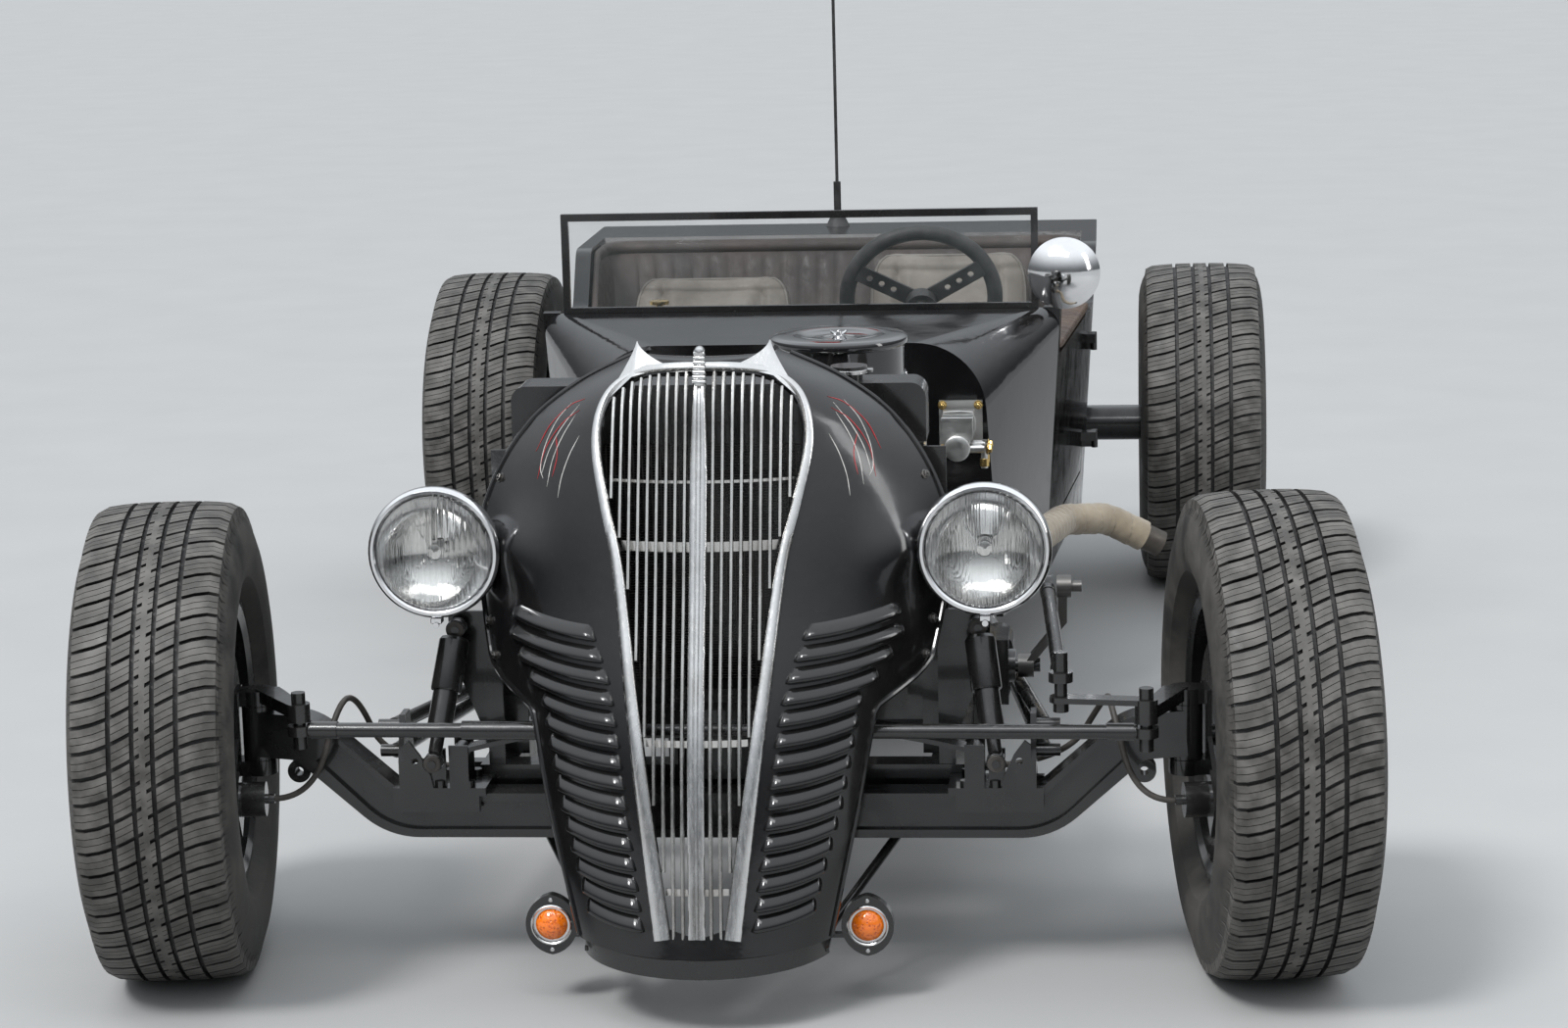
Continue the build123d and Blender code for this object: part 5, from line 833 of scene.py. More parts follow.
# Pointed caps on the crown: hollow-sided spikes over the surround
CAP_INNER = (0.046, 0.8985)
CAP_FRONT = (0.1, 0.88)
CAP_OUTER = (0.144, 0.842)
for side in (1, -1):
    inner_at = shell_at(*CAP_INNER)
    front_at = shell_at(*CAP_FRONT)
    outer_at = shell_at(*CAP_OUTER)
    rear_at = front_at + Vector((-0.01, 0.058, 0.012))
    corners = (inner_at, front_at + Vector((0, -0.006, 0.002)), outer_at, rear_at)
    base = [corners[i].lerp(corners[(i + 1) % 4], k / 8) for i in range(4) for k in range(8)]
    middle = sum(corners, Vector()) / 4
    apex = Vector((0.094, front_at.y + 0.02, 0.9285))
    rows = []
    for s in steps(0, 1, 14):
        ring = [middle.lerp(apex, s) + (p - middle) * (0.985 * (1 - s) ** 1.45 + 0.015) for p in base]
        rows.append([mirror(p, side) for p in ring[::side]])
    trim.grid(rows, wrap=True, caps=True)
trim.make("grille_trim_dressed", POLISHED, ("grille_trim",), 45)

# Louvres: pressed slats with a rolled lower lip and rounded ends
LOUVRE_INNER = mm((140, 72), (390, 104), (470, 118), (550, 150), (600, 185))
LOUVRE_OUTER = mm((140, 150), (300, 196), (437, 224), (480, 258), (520, 280), (560, 272), (620, 240))
LOUVRES = 15
LOUVRE_FOOT = 0.148
LOUVRE_PITCH = 0.0274
LOUVRE_H = 0.0248
# How much higher a slat's outer end stands
LOUVRE_RISE = 0.016
# How far up the slat, how far out
LOUVRE_PROFILE = ((0, -0.003), (-0.02, 0.004), (0.02, 0.0078), (0.1, 0.0102), (0.22, 0.0108), (0.42, 0.0094),
                  (0.66, 0.006), (0.86, 0.0022), (1.0, -0.001))
louvres = Form()
for i in range(LOUVRES):
    z_in = LOUVRE_FOOT + LOUVRE_PITCH * i
    x_in = along(LOUVRE_INNER, z_in)
    x_out = along(LOUVRE_OUTER, z_in + LOUVRE_RISE)
    for side in (1, -1):
        rows = []
        for s in steps(0, 1, 24):
            x = x_in + (x_out - x_in) * s
            z = z_in + LOUVRE_RISE * s * s
            turn = shell_turn(z, x)
            at, n = on_shell(x, z)
            up = (shell_point(z + 0.01, turn) - shell_point(z - 0.01, turn)).normalized()
            ease = min(1.0, sqrt(min(s / 0.07, 1.0)), sqrt(min((1 - s) / 0.09, 1.0)))
            row = []
            for rise, out in LOUVRE_PROFILE:
                height = (0.15 + 0.85 * ease) * rise + 0.42 * (1 - ease) * 0.15
                p = at + up * (LOUVRE_H * height) + n * (out * ease if out > 0 else out)
                row.append(mirror(p, side))
            rows.append(row[::side])
        louvres.grid(rows, wrap=True, caps=True)
louvres.make("louvres_dressed", SHELL_PAINT, ("louvres",), 60)

# Pinstripes on the shell's shoulders: thin painted lines
PIN_RED = flat_paint("pinstripe red", (0.42, 0.012, 0.016))
PIN_WHITE = flat_paint("pinstripe white", (0.62, 0.6, 0.57))


def pinstripe(form, places, side, width):
    """Painted line over the shell through (x, z) places."""
    frames = []
    path = curve_through(places, 12 * len(places))
    last = len(path) - 1
    for i, (x, z) in enumerate(path):
        p, n = on_shell(x, z)
        ahead = shell_at(*path[min(i + 1, last)]) - shell_at(*path[max(i - 1, 0)])
        across = n.cross(ahead).normalized()
        end = min(1.0, 5 * i / len(path), 5 * (last - i) / len(path)) + 0.15
        frames.append((mirror(p, side), mirror(across, side), mirror(n, side), (width * min(1.0, end), 1)))
    form.strip(frames, both_sides(((-0.5, -0.0006), (-0.5, 0.0004))))


reds = Form()
whites = Form()
RED_LINES = (
    mm((172, 846), (196, 834), (226, 806), (246, 770)),
    mm((178, 832), (205, 812), (230, 776), (240, 736)),
    mm((216, 742), (210, 770), (214, 796)),
)
WHITE_LINES = (
    mm((180, 838), (206, 806), (224, 774), (234, 742)),
    mm((184, 826), (203, 796), (217, 764), (224, 728)),
    mm((194, 838), (216, 812), (231, 780), (236, 752), (231, 738)),
    mm((176, 800), (190, 774), (201, 744), (206, 716)),
)
for side in (1, -1):
    for line in RED_LINES:
        pinstripe(reds, line, side, 0.0012)
    for line in WHITE_LINES:
        pinstripe(whites, line, side, 0.0011)
reds.make("pinstripes_red", PIN_RED)
whites.make("pinstripes_white", PIN_WHITE)


# Headlamps: bowl with rim and reflector in one turned shell, bulb shield, stem nuts and rim clamp

LAMP_AT = Vector((0.391, AX - 0.063, 0.633))
BOWL = mm((0, 52), (20, 50), (46, 42), (66, 29), (80, 12), (83.5, 7), (84, 1.5), (86.5, -0.8), (90.5, -0.4),
          (93.5, 2.2), (95, 6.5), (95, 18.5), (93.5, 22.5), (90, 24), (89, 26.2), (89, 30), (87, 42),
          (82, 58), (74, 74), (63, 89), (49, 102), (32, 112), (15, 118), (0, 119.5))
LENS_FRONT = mm((0, -8.5), (25, -7.8), (50, -5.4), (70, -1.8), (82.5, 3.5))
LENS_BACK = mm((82.5, 5), (70, 1.2), (50, -2.4), (25, -4.8), (0, -5.5))
BULB_SHIELD = mm((0, 10), (10, 12), (13, 18), (12, 48))
LAMP_CLAMP = mm((2.8, -16), (2.8, 3), (4.5, 3), (4.5, 6))
STEM_Y = AX - 0.003
# The stem's stages: from x, to x, radius
STEM = mm((325, 300, 12), (305, 297, 16.5), (297, 276, 12.5), (276, 271, 20))
STEM_NUT_X = 0.287
lamp_bowls = Form()
lamp_lenses = Form()
lamp_bits = Form()
for side in (1, -1):
    at = mirror(LAMP_AT, side)
    lamp_bowls.lathe(at, Y, BOWL, 72)
    lamp_lenses.lathe(at, Y, LENS_FRONT + LENS_BACK, 72)
    lamp_bits.lathe(at, Y, BULB_SHIELD, 20)
    for quarter in (0.25, 0.75, 1.25, 1.75):
        out = Vector((cos(quarter * pi), 0, sin(quarter * pi)))
        lamp_bits.tube((at + out * 0.018 + Y * 0.022, at + out * 0.04 + Y * 0.04), 0.0012, 6)
    for x0, x1, r in STEM:
        long = x0 - x1
        outline = ((r * 0.9, 0), (r, 0.0012), (r, long - 0.001), (r * 0.9, long))
        lamp_bits.lathe((side * x0, STEM_Y, LAMP_AT.z), (-side, 0, 0), outline, 24)
    stem_nut = sleeve(0.016, 0.0185, 0.001, 0.01)
    lamp_bits.lathe((side * STEM_NUT_X, STEM_Y, LAMP_AT.z), (-side, 0, 0), stem_nut, 6)
    lamp_bits.box(at + Vector((0, 0.01, -0.0985)), (0.016, 0.018, 0.008))
    lamp_bits.lathe(at + Vector((0, 0.004, -0.1045)), FORWARD, LAMP_CLAMP, 12)
lamp_bowls.make("headlamp_bowls", CHROME, ("headlamps",), 30)
lamp_lenses.make("headlamp_glass", LENS, ("headlamp_lenses",), 30)
lamp_bits.make("headlamp_fittings", CHROME)

# Turn signals: bright ring and screw heads on each pointed oval
SIGNAL_RING = mm((26.2, -4), (26.2, 1.6), (27.5, 2.6), (29.5, 1.4), (29.5, -2))
SIGNAL_SCREW = mm((3.2, -1), (3, 1), (1.4, 1.9), (0, 2))
SIGNAL_AT = Vector((0.224, AX - 0.168, 0.118))
signal_bits = Form()
for side in (1, -1):
    at = mirror(SIGNAL_AT, side)
    signal_bits.lathe(at, FORWARD, SIGNAL_RING, 40)
    for up in (-0.0365, 0.0365):
        signal_bits.lathe(at + Z * up, FORWARD, SIGNAL_SCREW, 14)
signal_bits.make("signal_rings", POLISHED)


# Seats: crowned leather pads with sewn channels and piping, leaning as the CAD seats do

SEAM = 0.8


def pad_surface(at, axes, size, crown, channels, u, a):
    """Point of a pad: u along its length from -1 to 1, a the angle round its section."""
    w, l, t = (s / 2 for s in size)
    inward = 1 - u * u
    end = (1 - abs(u) ** 5) ** 0.45 if abs(u) < 1 else 0.0
    x = w * (1 - 0.025 * inward) * signed_power(cos(a), 0.38) * (0.62 + 0.38 * end)
    y = l * u * (0.97 + 0.03 * abs(cos(a)))
    h = t * signed_power(sin(a), 0.5) * (0.1 + 0.9 * end)
    if sin(a) > 0:
        rel = x / w
        h += crown * (1 - rel * rel) * inward
        for mark in channels:
            h -= 0.012 * exp(-((rel - mark) / 0.045) ** 2) * min(1.0, 2.2 * inward) * min(1.0, sin(a) * 2)
        h -= 0.006 * exp(-((abs(u) - SEAM) / 0.03) ** 2) * min(1.0, 4 * (1 - rel * rel))
    return at + axes[0] * x + axes[1] * y + axes[2] * h


PIPING = leather("piping leather", (0.24, 0.22, 0.19), (0.1, 0.09, 0.08))
CHANNELS = (-0.62, -0.31, 0.0, 0.31, 0.62)
PIPE_EDGE = 0.42
CUSHION = (0.338, 0.352, 0.098)
BACK_WIDE = 0.338
BACK_THICK = 0.076
CUSHION_TILT = Matrix.Rotation(radians(-3.0), 3, "X")
PLINTH = (0.3, 0.33, 0.018)
piping = Form()
# Side, place across the car, how much lower the back ends
for seat_name, seat_x, drop in (("left", 0.236, 0), ("right", -0.262, 0.045)):
    foot = Vector((seat_x, AX + 2.318, 0.4))
    top = Vector((seat_x, AX + 2.443, 0.735 - drop))
    rise = (top - foot).normalized()
    face = X.cross(rise)
    tilted = [CUSHION_TILT @ axis for axis in (X, Y, Z)]
    cushion = (Vector((seat_x, AX + 2.13, 0.386)), tilted, CUSHION, 0.012)
    back_size = (BACK_WIDE, (top - foot).length + 0.03, BACK_THICK)
    back = ((foot + top) / 2 - face * 0.004, (X, rise, face), back_size, 0.01)
    for part, pad in (("cushion", cushion), ("back", back)):
        form = Form()
        rows = []
        for u in steps(-1, 1, 58):
            rows.append([pad_surface(*pad, CHANNELS, sin(u * pi / 2), a) for a in circle(88)])
        form.grid(rows, wrap=True, caps=True)
        piece = form.make(f"seat_{part}_{seat_name}", SEAT_LEATHER, ("seats",), 60)
        loop = [pad_surface(*pad, (), u, PIPE_EDGE) for u in steps(-0.96, 0.96, 40)]
        loop += [pad_surface(*pad, (), u, pi - PIPE_EDGE) for u in steps(0.96, -0.96, 40)]
        piping.tube(loop + loop[:2], 0.0034, 7)
    # Low plinth under the cushion
    piping.box((seat_x, AX + 2.14, 0.33), PLINTH)
piping.make("seat_piping", PIPING)


# Lining round the back of the cockpit: pleated leather with a rolled top

LINING_FOOT = 0.502
LINING_LOW = 0.659
LINING_HIGH = 0.769
LINING_FRONT = AX + 2.278


def lining_plan(z, inset, count):
    """Places (x, y) round the cockpit's back at one height, so far in from the wall."""
    side_x = 0.4777 + (z - 0.25) * 0.0647 - inset
    back_y = AX + 2.38 + (z - 0.32) * 230 / 505 - inset * 1.05
    r = 0.05
    half = [(side_x, LINING_FRONT + (back_y - r - LINING_FRONT) * t) for t in steps(0, 1, 14)]
    half += [(side_x - r + r * cos(a), back_y - r + r * sin(a)) for a in steps(0, pi / 2, 8)[1:]]
    half += [((side_x - r) * (1 - t), back_y) for t in steps(0, 1, count)[1:]]
    return half + [(-x, y) for x, y in reversed(half[:-1])]


def lining_top(y):
    return LINING_LOW + (LINING_HIGH - LINING_LOW) * min(1.0, max(0, (y - LINING_FRONT) / 0.122))


# Share of the height, inset from the wall, how far it swells between the pleats
LINING_SECTION = ((0, 0.0015, 0), (0, 0.0085, 0), (0.03, 0.01, 1), (0.2, 0.0105, 1), (0.4, 0.0105, 1),
                  (0.6, 0.0105, 1), (0.8, 0.01, 1), (0.895, 0.008, 0.5), (0.905, 0.0075, 0),
                  (0.915, 0.011, 0), (0.94, 0.0148, 0), (0.97, 0.0152, 0), (0.992, 0.012, 0),
                  (1.0, 0.0075, 0), (0.992, 0.003, 0), (0.96, 0.0015, 0), (0.5, 0.0015, 0))
LINING_COUNT = 70
lining = Form()
columns = len(lining_plan(LINING_FOOT, 0, LINING_COUNT))
rows = []
for j in range(columns):
    row = []
    for share, inset, swell in LINING_SECTION:
        z = LINING_FOOT
        # The height hangs on the place and the place on the height, so both are found in three rounds
        for attempt in range(3):
            x, y = lining_plan(z, inset, LINING_COUNT)[j]
            z = LINING_FOOT + share * (lining_top(y) - LINING_FOOT)
        puff = swell * 0.0045 * (abs(sin(pi * j / 6.0)) ** 0.6)
        x, y = lining_plan(z, inset + puff, LINING_COUNT)[j]
        row.append((x, y, z))
    rows.append(row)
lining.grid(rows, wrap=True, caps=True)
piece = lining.make("cabin_lining_dressed", LINING, ("cabin_lining",), 50)

# Leather pads on the door tops, with a seam along each side
PAD_MIDDLE = 1.868
PAD_HALF = 0.278
PAD_Z = 0.6765
for side_name, side in SIDES:
    form = Form()
    rows = []
    for t in steps(-1, 1, 70):
        t = sin(t * pi / 2)
        y = AX + PAD_MIDDLE + PAD_HALF * t
        x = 0.4738 + (y - AX - 1.53) * 0.0875 - 0.0215
        end = (1 - abs(t) ** 14) ** 0.4 if abs(t) < 1 else 0.0
        row = []
        for a in circle(40):
            w = 0.0238 * signed_power(cos(a), 0.6) * (0.75 + 0.25 * end)
            h = 0.01 * signed_power(sin(a), 0.7) * (0.2 + 0.8 * end)
            if sin(a) > 0:
                h -= 0.0016 * exp(-((abs(w) - 0.0165) / 0.0014) ** 2)
            row.append((side * (x + w), y, PAD_Z + h))
        rows.append(row[::side])
    form.grid(rows, wrap=True, caps=True)
    name = "door_pad_dressed_" + side_name
    replaced = ("door_pad_" + side_name,)
    piece = form.make(name, PAD_LEATHER, replaced, 60, "door_" + side_name)

# Flag: one sheet tied to the mast along its hoist, its fly hanging in folds
MAST = Vector((-0.02, AX + 2.75, 0))
flag_plan = []
for t in steps(0, 1, 60):
    fold = 0.0155 * sin(t * 4.3 * pi) * min(1.0, 2.5 * t)
    flag_plan.append((MAST.x - 0.0042 - 0.084 * t ** 0.9, MAST.y + fold))
FLAG_RUN = sum(sqrt((b[0] - a[0]) ** 2 + (b[1] - a[1]) ** 2) for a, b in zip(flag_plan, flag_plan[1:]))
FLAG_DEEP = 0.27
FLAG_TOP = 1.622
flag = Form()
rows = []
for k in steps(0, 1, 44):
    row = []
    for i, (x, y) in enumerate(flag_plan):
        t = i / (len(flag_plan) - 1)
        sway = 0.004 * sin(2.2 * k * pi + 3 * t) * t
        row.append((x + sway * 0.6, y + sway, FLAG_TOP - 0.022 * t - FLAG_DEEP * k))
    rows.append(row)
flag.grid(rows)
piece = flag.make("flag_dressed", FLAG_RED, ("flag",), 80)

# Air cleaner: base pan, element drum, lid with a raised edge and a wing nut

CLEANER_AT = Vector((0.135, AX + 0.7, 0.757))
CLEANER = mm((0, 0), (70, 0), (96, 2), (107, 6), (109.5, 10), (107.5, 12.5), (104.5, 13.5), (104.5, 56.5),
             (108.5, 58.5), (111.5, 62), (112, 66.5), (110.5, 70.5), (106, 73.5), (99, 74.5), (76, 75.2),
             (64, 74.6), (59, 72.2), (54, 70), (30, 69.2), (16, 69.8), (12, 71.6), (0, 71.8))
cleaner = Form()
cleaner.lathe(CLEANER_AT, Z, CLEANER, 96)
cleaner.make("air_cleaner_dressed", BLACK_ENAMEL, ("air_cleaner",), 28)
WING_HUB = mm((9.5, 0), (9.5, 1.2), (6, 1.6), (5.2, 7), (3, 7.4), (3, 9.6), (0, 10.2))
WING_EAR = mm((3, 3), (9, 5.2), (12.5, 8.2), (11.5, 9.4))
wing = Form()
wing_at = CLEANER_AT + Z * 0.0712
wing.lathe(wing_at, Z, WING_HUB, 20)
for side in (1, -1):
    wing.tube([wing_at + Vector((side * x, side * x * 0.3, z)) for x, z in WING_EAR], 0.0021, 8)
wing.make("wing_nut", CHROME)

# Radiator: fins over the core's front, cap, hose clamps
CORE_Y = AX + 0.1285
CORE_LEFT, CORE_FOOT, CORE_MIDDLE = -0.2595, 0.404, 0.578
TUBE_PITCH = 0.0133
FIN_PITCH = 0.004
fins = Form()
for i in range(40):
    fins.box((CORE_LEFT + TUBE_PITCH * i, CORE_Y, CORE_MIDDLE), (0.002, 0.003, 0.352))
for i in range(88):
    fins.box((0, CORE_Y + 0.0005, CORE_FOOT + FIN_PITCH * i), (0.53, 0.0016, 0.0007))
fins.make("radiator_fins", STEEL)
CAP_AT = Vector((0.19, AX + 0.165, 0.8425))
CAP = mm((0, 17), (12, 18.5), (24, 17.5), (27.5, 14), (27.5, 9), (26.2, 8.5), (26.2, 11), (0, 11))
CLAMP_BAND = mm((19, -6), (20.1, -6.4), (20.1, 6.4), (19, 6))
CLAMP_SCREW = mm((0, 0), (3.6, 0), (3.6, 22), (2.8, 22.8), (2.8, 26), (0, 26))
fittings = Form()
fittings.lathe(CAP_AT, Z, CAP, 40)
for side in (1, -1):
    fittings.box(CAP_AT + Vector((side * 0.03, 0, 0.0125)), (0.01, 0.016, 0.005))
hose_end = Vector((-0.02, 0.044, -0.075)).normalized()
upper_clamp = Vector((0.12, AX + 0.224, 0.8))
lower_clamp = Vector((0.02, AX + 0.374, 0.655)) - hose_end * 0.014
for at, axis in ((upper_clamp, Y), (lower_clamp, hose_end)):
    fittings.lathe(at, axis, CLAMP_BAND, 36)
    out = axis.orthogonal().normalized()
    along_screw = axis.cross(out)
    fittings.lathe(at + out * 0.0225 - along_screw * 0.011, along_screw, CLAMP_SCREW, 12)
fittings.make("radiator_fittings", POLISHED)

# Engine: cover nuts, filler cap, flange nuts of the header
FILLER = mm((20, 0), (20, 6), (26, 8), (27, 19), (24, 22), (0, 22.5))
COVER_NUT = Vector((-0.0125, AX + 0.43, 0.7118))
HEADER_NUT = Vector((0.1252, AX + 0.42, 0.518))
engine_bits = Form()
for i in range(3):
    engine_bits.nut(COVER_NUT + Y * 0.265 * i, Z, 0.007, 0.003)
engine_bits.lathe((-0.045, AX + 0.56, 0.7105), Z, FILLER, 12)
for i in range(6):
    for step in (-0.031, 0.031):
        engine_bits.nut(HEADER_NUT + Y * (0.108 * i + step), X, 0.0056, 0.004)
engine_bits.make("engine_fittings", STEEL)


# Exhaust wrap: pipe wound with an overlapping band


def rounded_path(points, radii, gap):
    """Even points along straight runs joined by round bends."""
    path = [points[0]]
    for before, at, after, radius in zip(points, points[1:], points[2:], radii):
        way_in = (at - before).normalized()
        way_out = (after - at).normalized()
        bend = way_in.angle(way_out)
        cut = radius * tan(bend / 2)
        inward = (way_out - way_in).normalized()
        middle = at + inward * (radius / cos(bend / 2))
        start = at - way_in * cut
        turn_axis = way_in.cross(way_out).normalized()
        for t in steps(0, 1, max(4, int(bend * radius / gap))):
            path.append(middle + Matrix.Rotation(bend * t, 3, turn_axis) @ (start - middle))
    path.append(points[-1])
    even = [path[0]]
    for a, b in zip(path, path[1:]):
        parts = max(1, int((b - a).length / gap))
        even += [a.lerp(b, (k + 1) / parts) for k in range(parts)]
    return even


PIPE = [Vector((x, AX + y, z)) for x, y, z in (
    (0.155, 0.94, 0.47), (0.185, 1.02, 0.42), (0.3, 1.09, 0.392), (0.425, 1.175, 0.385),
    (0.482, 1.4, 0.385), (0.56, 1.475, 0.372), (0.66, 1.5, 0.318))]
PIPE_BENDS = (0.04, 0.055, 0.08, 0.07, 0.06)
WRAP_R = 0.0262
WRAP_PITCH = 0.04
WRAP_FROM = 0.205
WRAP_TO = 0.96
pipe_line = rounded_path(PIPE, PIPE_BENDS, 0.003)
wrapped = Form()
rows = []
far = 0.0
before = pipe_line[0]
whole = sum((b - a).length for a, b in zip(pipe_line, pipe_line[1:]))
for p, side, other in carried(pipe_line):
    far += (p - before).length
    before = p
    if not WRAP_FROM * whole < far < WRAP_TO * whole:
        continue
    ring = []
    for a in circle(48):
        u = (far / WRAP_PITCH - a / (2 * pi)) % 1.0
        r = WRAP_R + 0.0026 * min(1.0, u * 14) * (0.55 + 0.45 * u) + 0.0003 * sin(far * 300 + 3 * a)
        ring.append(p + (side * cos(a) + other * sin(a)) * r)
    rows.append(ring)
wrapped.grid(rows, wrap=True, caps=True)
wrapped.make("exhaust_wrap_dressed", WRAP, ("exhaust_wrap",), 28)

# Brake cylinder: reservoir lid with its wire bail, end cap, plate nuts and pipe unions
CYLINDER = Vector((0.306, AX + 1.2, 0.588))
cylinder_bits = Form()
BAIL = both_sides(mm((-28.5, 10), (-29, 30), (-25, 42.5), (0, 44)))
END_CAP = mm((21.2, -10), (22.4, -9), (22.4, 0.6), (20, 2.2), (11, 2.4), (0, 2.4))
UNION = mm((6, -14), (7.8, -13), (7.8, 0), (6, 1))
cylinder_bits.box(CYLINDER + Vector((0, -0.074, 0.0372)), (0.055, 0.091, 0.0065))
cylinder_bits.tube([CYLINDER + Vector((x, -0.074, z)) for x, z in BAIL], 0.0015, 8)
cylinder_bits.lathe(CYLINDER + Vector((0, -0.13, -0.012)), FORWARD, END_CAP, 36)
cylinder_bits.make("brake_cylinder_fittings", ALUMINIUM)
unions = Form()
for z in (-0.034, 0.044):
    for x in (-0.03, 0.033):
        unions.nut(CYLINDER + Vector((x, -0.0058, z)), FORWARD, 0.0052, 0.003)
for back in (-0.105, -0.065):
    unions.nut(CYLINDER + Vector((0.0515, back, -0.016)), X, 0.0068, 0.001)
    unions.lathe(CYLINDER + Vector((0.046, back, -0.047)), (0, 0, -1), UNION, 6)
unions.make("brake_unions", BRASS)

# Gauges on the dashboard: bright bezels, plain dials with strokes and a needle
bezels = Form()
dials = Form()
marks = Form()
# Across, height, radius
GAUGES = mm((140, 664, 36), (276, 664, 36), (40, 668, 25), (-30, 668, 25))
# Outline of a bezel: how much wider than the gauge, distance along its axis
BEZEL = mm((0, 0), (1, 4), (-1, 8.5), (-3.5, 8.5), (-4.5, 5), (-4.5, 0))
STROKES = 11
NEEDLE = Vector((0.66, 0, 0.75)).normalized()
for x, z, r in GAUGES:
    at = Vector((x, AX + 1.5262, z))
    bezels.lathe(at, Y, [(r + wider, far) for wider, far in BEZEL], 40)
    dials.lathe(at, Y, ((0, 0.003), (r - 0.0048, 0.003), (r - 0.0048, 0)), 32)
    for k in range(STROKES):
        a = pi * (1.25 - 1.5 * k / (STROKES - 1))
        out = Vector((-cos(a), 0, sin(a)))
        marks.box(at + out * (r * 0.74) + Y * 0.0034, (r * 0.14, 0.0006, 0.0009), (out, Y, out.cross(Y)))
    marks.box(at + NEEDLE * (r * 0.3) + Y * 0.0044, (r * 0.72, 0.0006, 0.0013), (NEEDLE, Y, NEEDLE.cross(Y)))
bezels.make("gauge_bezels", CHROME)
dials.make("gauge_dials", PLASTIC)
marks.make("gauge_marks", PIN_WHITE)

# Wheels: lug nuts and a small centre cap; the tail lamps: a ring round each
HUB_CAP = mm((34, 0), (35.5, 3), (34, 14), (27, 21), (0, 24))
TAIL_RING = mm((42, -12), (43.2, -10), (43.2, -1), (41.5, 2.2), (37.5, 1.6), (36.5, 0.4), (36.5, -2))
LUG_CIRCLE = 0.054
for side_name, side in SIDES:
    for end in TYRE_SIZES:
        hub = Form()
        for k in range(5):
            a = 2 * pi * k / 5 + 0.3
            hub.nut((0.0231, LUG_CIRCLE * cos(a), LUG_CIRCLE * sin(a)), X, 0.0088, 0.005)
        hub.lathe((0.0225, 0, 0), X, HUB_CAP, 36)
        piece = hub.make(f"wheel_nuts_{end}_{side_name}", CHROME, body=f"wheel_{end}_{side_name}")
        piece.matrix_world = wheel_place(end, side)
tail_rings = Form()
for side in (1, -1):
    tail_rings.lathe((side * 0.33, AX + 2.9868, 0.585), Y, TAIL_RING, 44)
tail_rings.make("tail_lamp_rings", CHROME)

# Dampers: front shocks with dust covers, rear coil-overs with wound springs

COILS = 7
TURN_STEPS = 26
COIL_R = 0.0305
COIL_FOOT = 0.0575
dampers = Form()
springs = Form()
bushes = Form()
for side in (1, -1):
    eye = Vector((side * 0.404, AX - 0.062, 0.327))
    top = Vector((side * 0.378, AX + 0.022, 0.505))
    way = (top - eye).normalized()
    reach = (top - eye).length
    shock = (
        (0.008, 0.011), (0.01, 0.014), (0.01, 0.04), (0.016, 0.042), (0.018, 0.045), (0.018, 0.104),
        (0.0212, 0.1045), (0.0222, 0.107), (0.0222, reach - 0.02), (0.019, reach - 0.015),
        (0.008, reach - 0.011),
    )
    dampers.lathe(eye, way, shock, 40)
    for at in (eye, top):
        dampers.lathe(at - Y * 0.011, Y, sleeve(0.0132, 0.0142, 0.001, 0.022), 32)
        bushes.lathe(at - Y * 0.0135, Y, sleeve(0.0115, 0.0125, 0.0012, 0.027), 28)
    low = Vector((side * 0.425, AX + 2.762, 0.3))
    top = Vector((side * 0.425, AX + 2.8, 0.5))
    way = (top - low).normalized()
    reach = (top - low).length
    body = (
        (0.01, 0.01), (0.0115, 0.013), (0.0115, 0.044), (0.0365, 0.0445), (0.038, 0.046), (0.038, 0.0505),
        (0.036, 0.052), (0.0235, 0.053), (0.0235, 0.07), (0.0215, 0.072), (0.0215, 0.118), (0.019, 0.12),
        (0.0085, 0.1205), (0.0085, reach - 0.046), (0.036, reach - 0.045), (0.038, reach - 0.0435),
        (0.038, reach - 0.0385), (0.036, reach - 0.037), (0.014, reach - 0.03), (0.01, reach - 0.011),
    )
    dampers.lathe(low, way, body, 44)
    across = way.orthogonal().normalized()
    other = way.cross(across)
    coil = []
    for k in steps(0, 1, COILS * TURN_STEPS):
        a = 2 * pi * COILS * k
        rise = COIL_FOOT + (reach - 0.0505 - COIL_FOOT) * min(1.0, max(0, (k - 0.06) / 0.88))
        coil.append(low + way * rise + (across * cos(a) + other * sin(a)) * COIL_R)
    springs.tube(coil, 0.005, 10)
    for at in (low, top):
        dampers.lathe(at - X * 0.0125, X, sleeve(0.012, 0.013, 0.001, 0.025), 32)
        bushes.lathe(at - X * 0.015, X, sleeve(0.0105, 0.0112, 0.0012, 0.03), 28)
dampers.make("dampers_dressed", FRAME_PAINT, ("dampers",), 32)
springs.make("coil_springs", BLACK_ENAMEL, (), 60)
bushes.make("damper_bushes", HOSE)


# Brake hoses: smooth lines through the CAD's route points

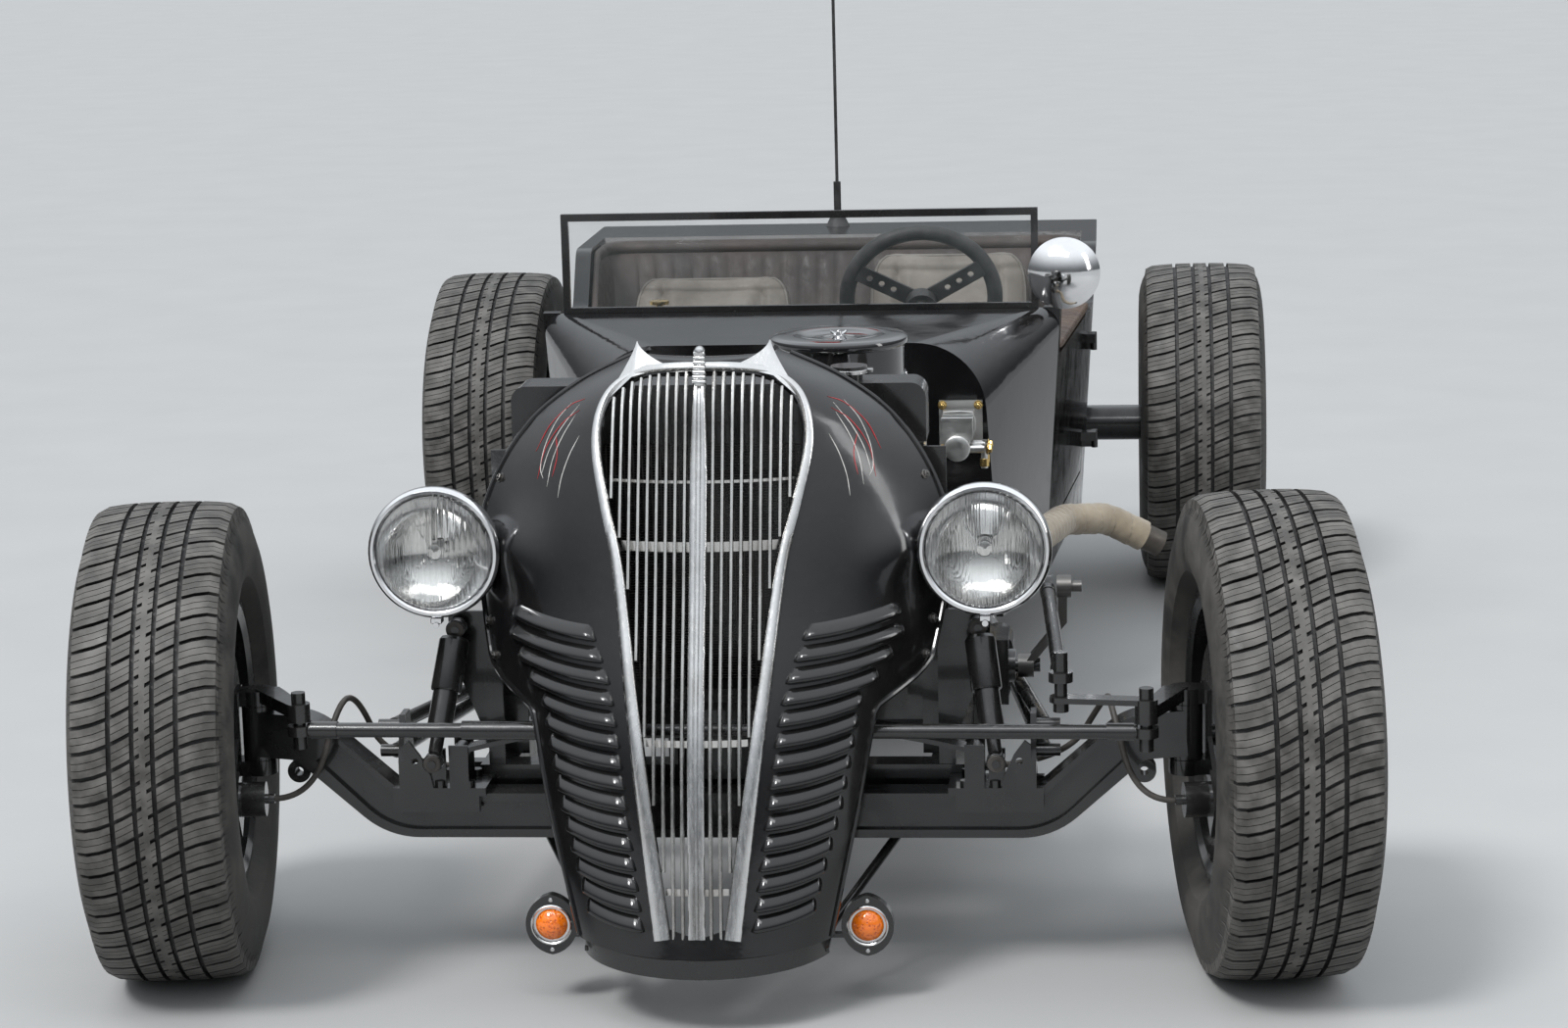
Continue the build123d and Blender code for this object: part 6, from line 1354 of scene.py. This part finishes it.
HOSES = {
    "left": ((0.3903, -1.2615, 0.285), (0.5, -1.2595, 0.291), (0.5596, -1.2715, 0.396),
             (0.5656, -1.3735, 0.412), (0.5996, -1.4294, 0.279), (0.6548, -1.4226, 0.279)),
    "right": ((-0.3903, -1.2615, 0.285), (-0.5, -1.2595, 0.291), (-0.5377, -1.2715, 0.396),
              (-0.5437, -1.3735, 0.412), (-0.5777, -1.4087, 0.279), (-0.633, -1.4156, 0.279)),
}
HOSE_R = 0.0045
for side_name, points in HOSES.items():
    curve = bpy.data.curves.new("brake_hose_dressed_" + side_name, "CURVE")
    curve.dimensions = "3D"
    curve.bevel_depth = HOSE_R
    curve.bevel_resolution = 4
    curve.resolution_u = 16
    curve.use_fill_caps = True
    spline = curve.splines.new("NURBS")
    spline.points.add(len(points) - 1)
    for point, co in zip(spline.points, points):
        point.co = (*co, 1)
    spline.order_u = 3
    spline.use_endpoint_u = True
    curve.materials.append(HOSE)
    hose = link(bpy.data.objects.new(curve.name, curve))
    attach(hose, "chassis")
    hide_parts("brake_hose_" + side_name)
    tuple(points[0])


# Floor, lights and world

floor_graph = Graph("floor")
floor_graph.colour(floor_graph.mix(floor_graph.noise(3.0), (0.345, 0.345, 0.345), (0.385, 0.385, 0.38)))
floor_graph.set(Roughness=0.9)
bpy.ops.mesh.primitive_plane_add(size=110, location=(0, 20, 0))
floor = bpy.context.object
floor.name = "floor"
floor.data.materials.append(floor_graph.material)
floor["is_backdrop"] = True


def lamp(name, at, target, size, energy):
    data = bpy.data.lights.new(name, "AREA")
    data.shape = "RECTANGLE"
    data.size, data.size_y = size
    data.energy = energy
    obj = link(bpy.data.objects.new(name, data))
    obj.location = at
    obj.rotation_euler = (Vector(target) - Vector(at)).to_track_quat("-Z", "Y").to_euler()


def sun(name, towards, strength, spread):
    data = bpy.data.lights.new(name, "SUN")
    data.energy = strength
    data.angle = radians(spread)
    obj = link(bpy.data.objects.new(name, data))
    obj.rotation_euler = Vector(towards).to_track_quat("-Z", "Y").to_euler()


sun("daylight", towards=(0.45, 0.62, -1.0), strength=2.0, spread=14)
lamp("sheen", at=(-0.6, -3.4, 4.6), target=(0, -0.9, 0.6), size=(4.5, 1.0), energy=60)
lamp("side sheen", at=(3.8, -1.6, 2.2), target=(0, -0.6, 0.5), size=(0.6, 2.6), energy=22)

# Sky: bright overhead, dim at the horizon, a pale plain tone to the camera
world = bpy.data.worlds.new("daylight")
bpy.context.scene.world = world
world.use_nodes = True
sky = Tree(world.node_tree)
out = sky.node("OutputWorld")
towards = sky.node("TexCoord")
split = sky.node("SeparateXYZ")
height = sky.node("MapRange", From_Min=0.02, From_Max=0.75, To_Min=0.16, To_Max=1.35)
height.interpolation_type = "SMOOTHSTEP"
lit = sky.node("Background", Color=(0.9, 0.95, 1.0, 1))
seen = sky.node("Background", Color=(0.8, 0.81, 0.82, 1), Strength=0.95)
rays = sky.node("LightPath")
choose = sky.node("MixShader")
sky.join(towards.outputs["Generated"], split.inputs[0])
sky.join(split.outputs["Z"], height.inputs["Value"])
sky.join(height.outputs["Result"], lit.inputs["Strength"])
sky.join(rays.outputs["Is Camera Ray"], choose.inputs["Fac"])
sky.join(lit.outputs[0], choose.inputs[1])
sky.join(seen.outputs[0], choose.inputs[2])
sky.join(choose.outputs[0], out.inputs["Surface"])

[[list(map(float, corner)) for corner in box] for box in (CAD_BOX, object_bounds())]
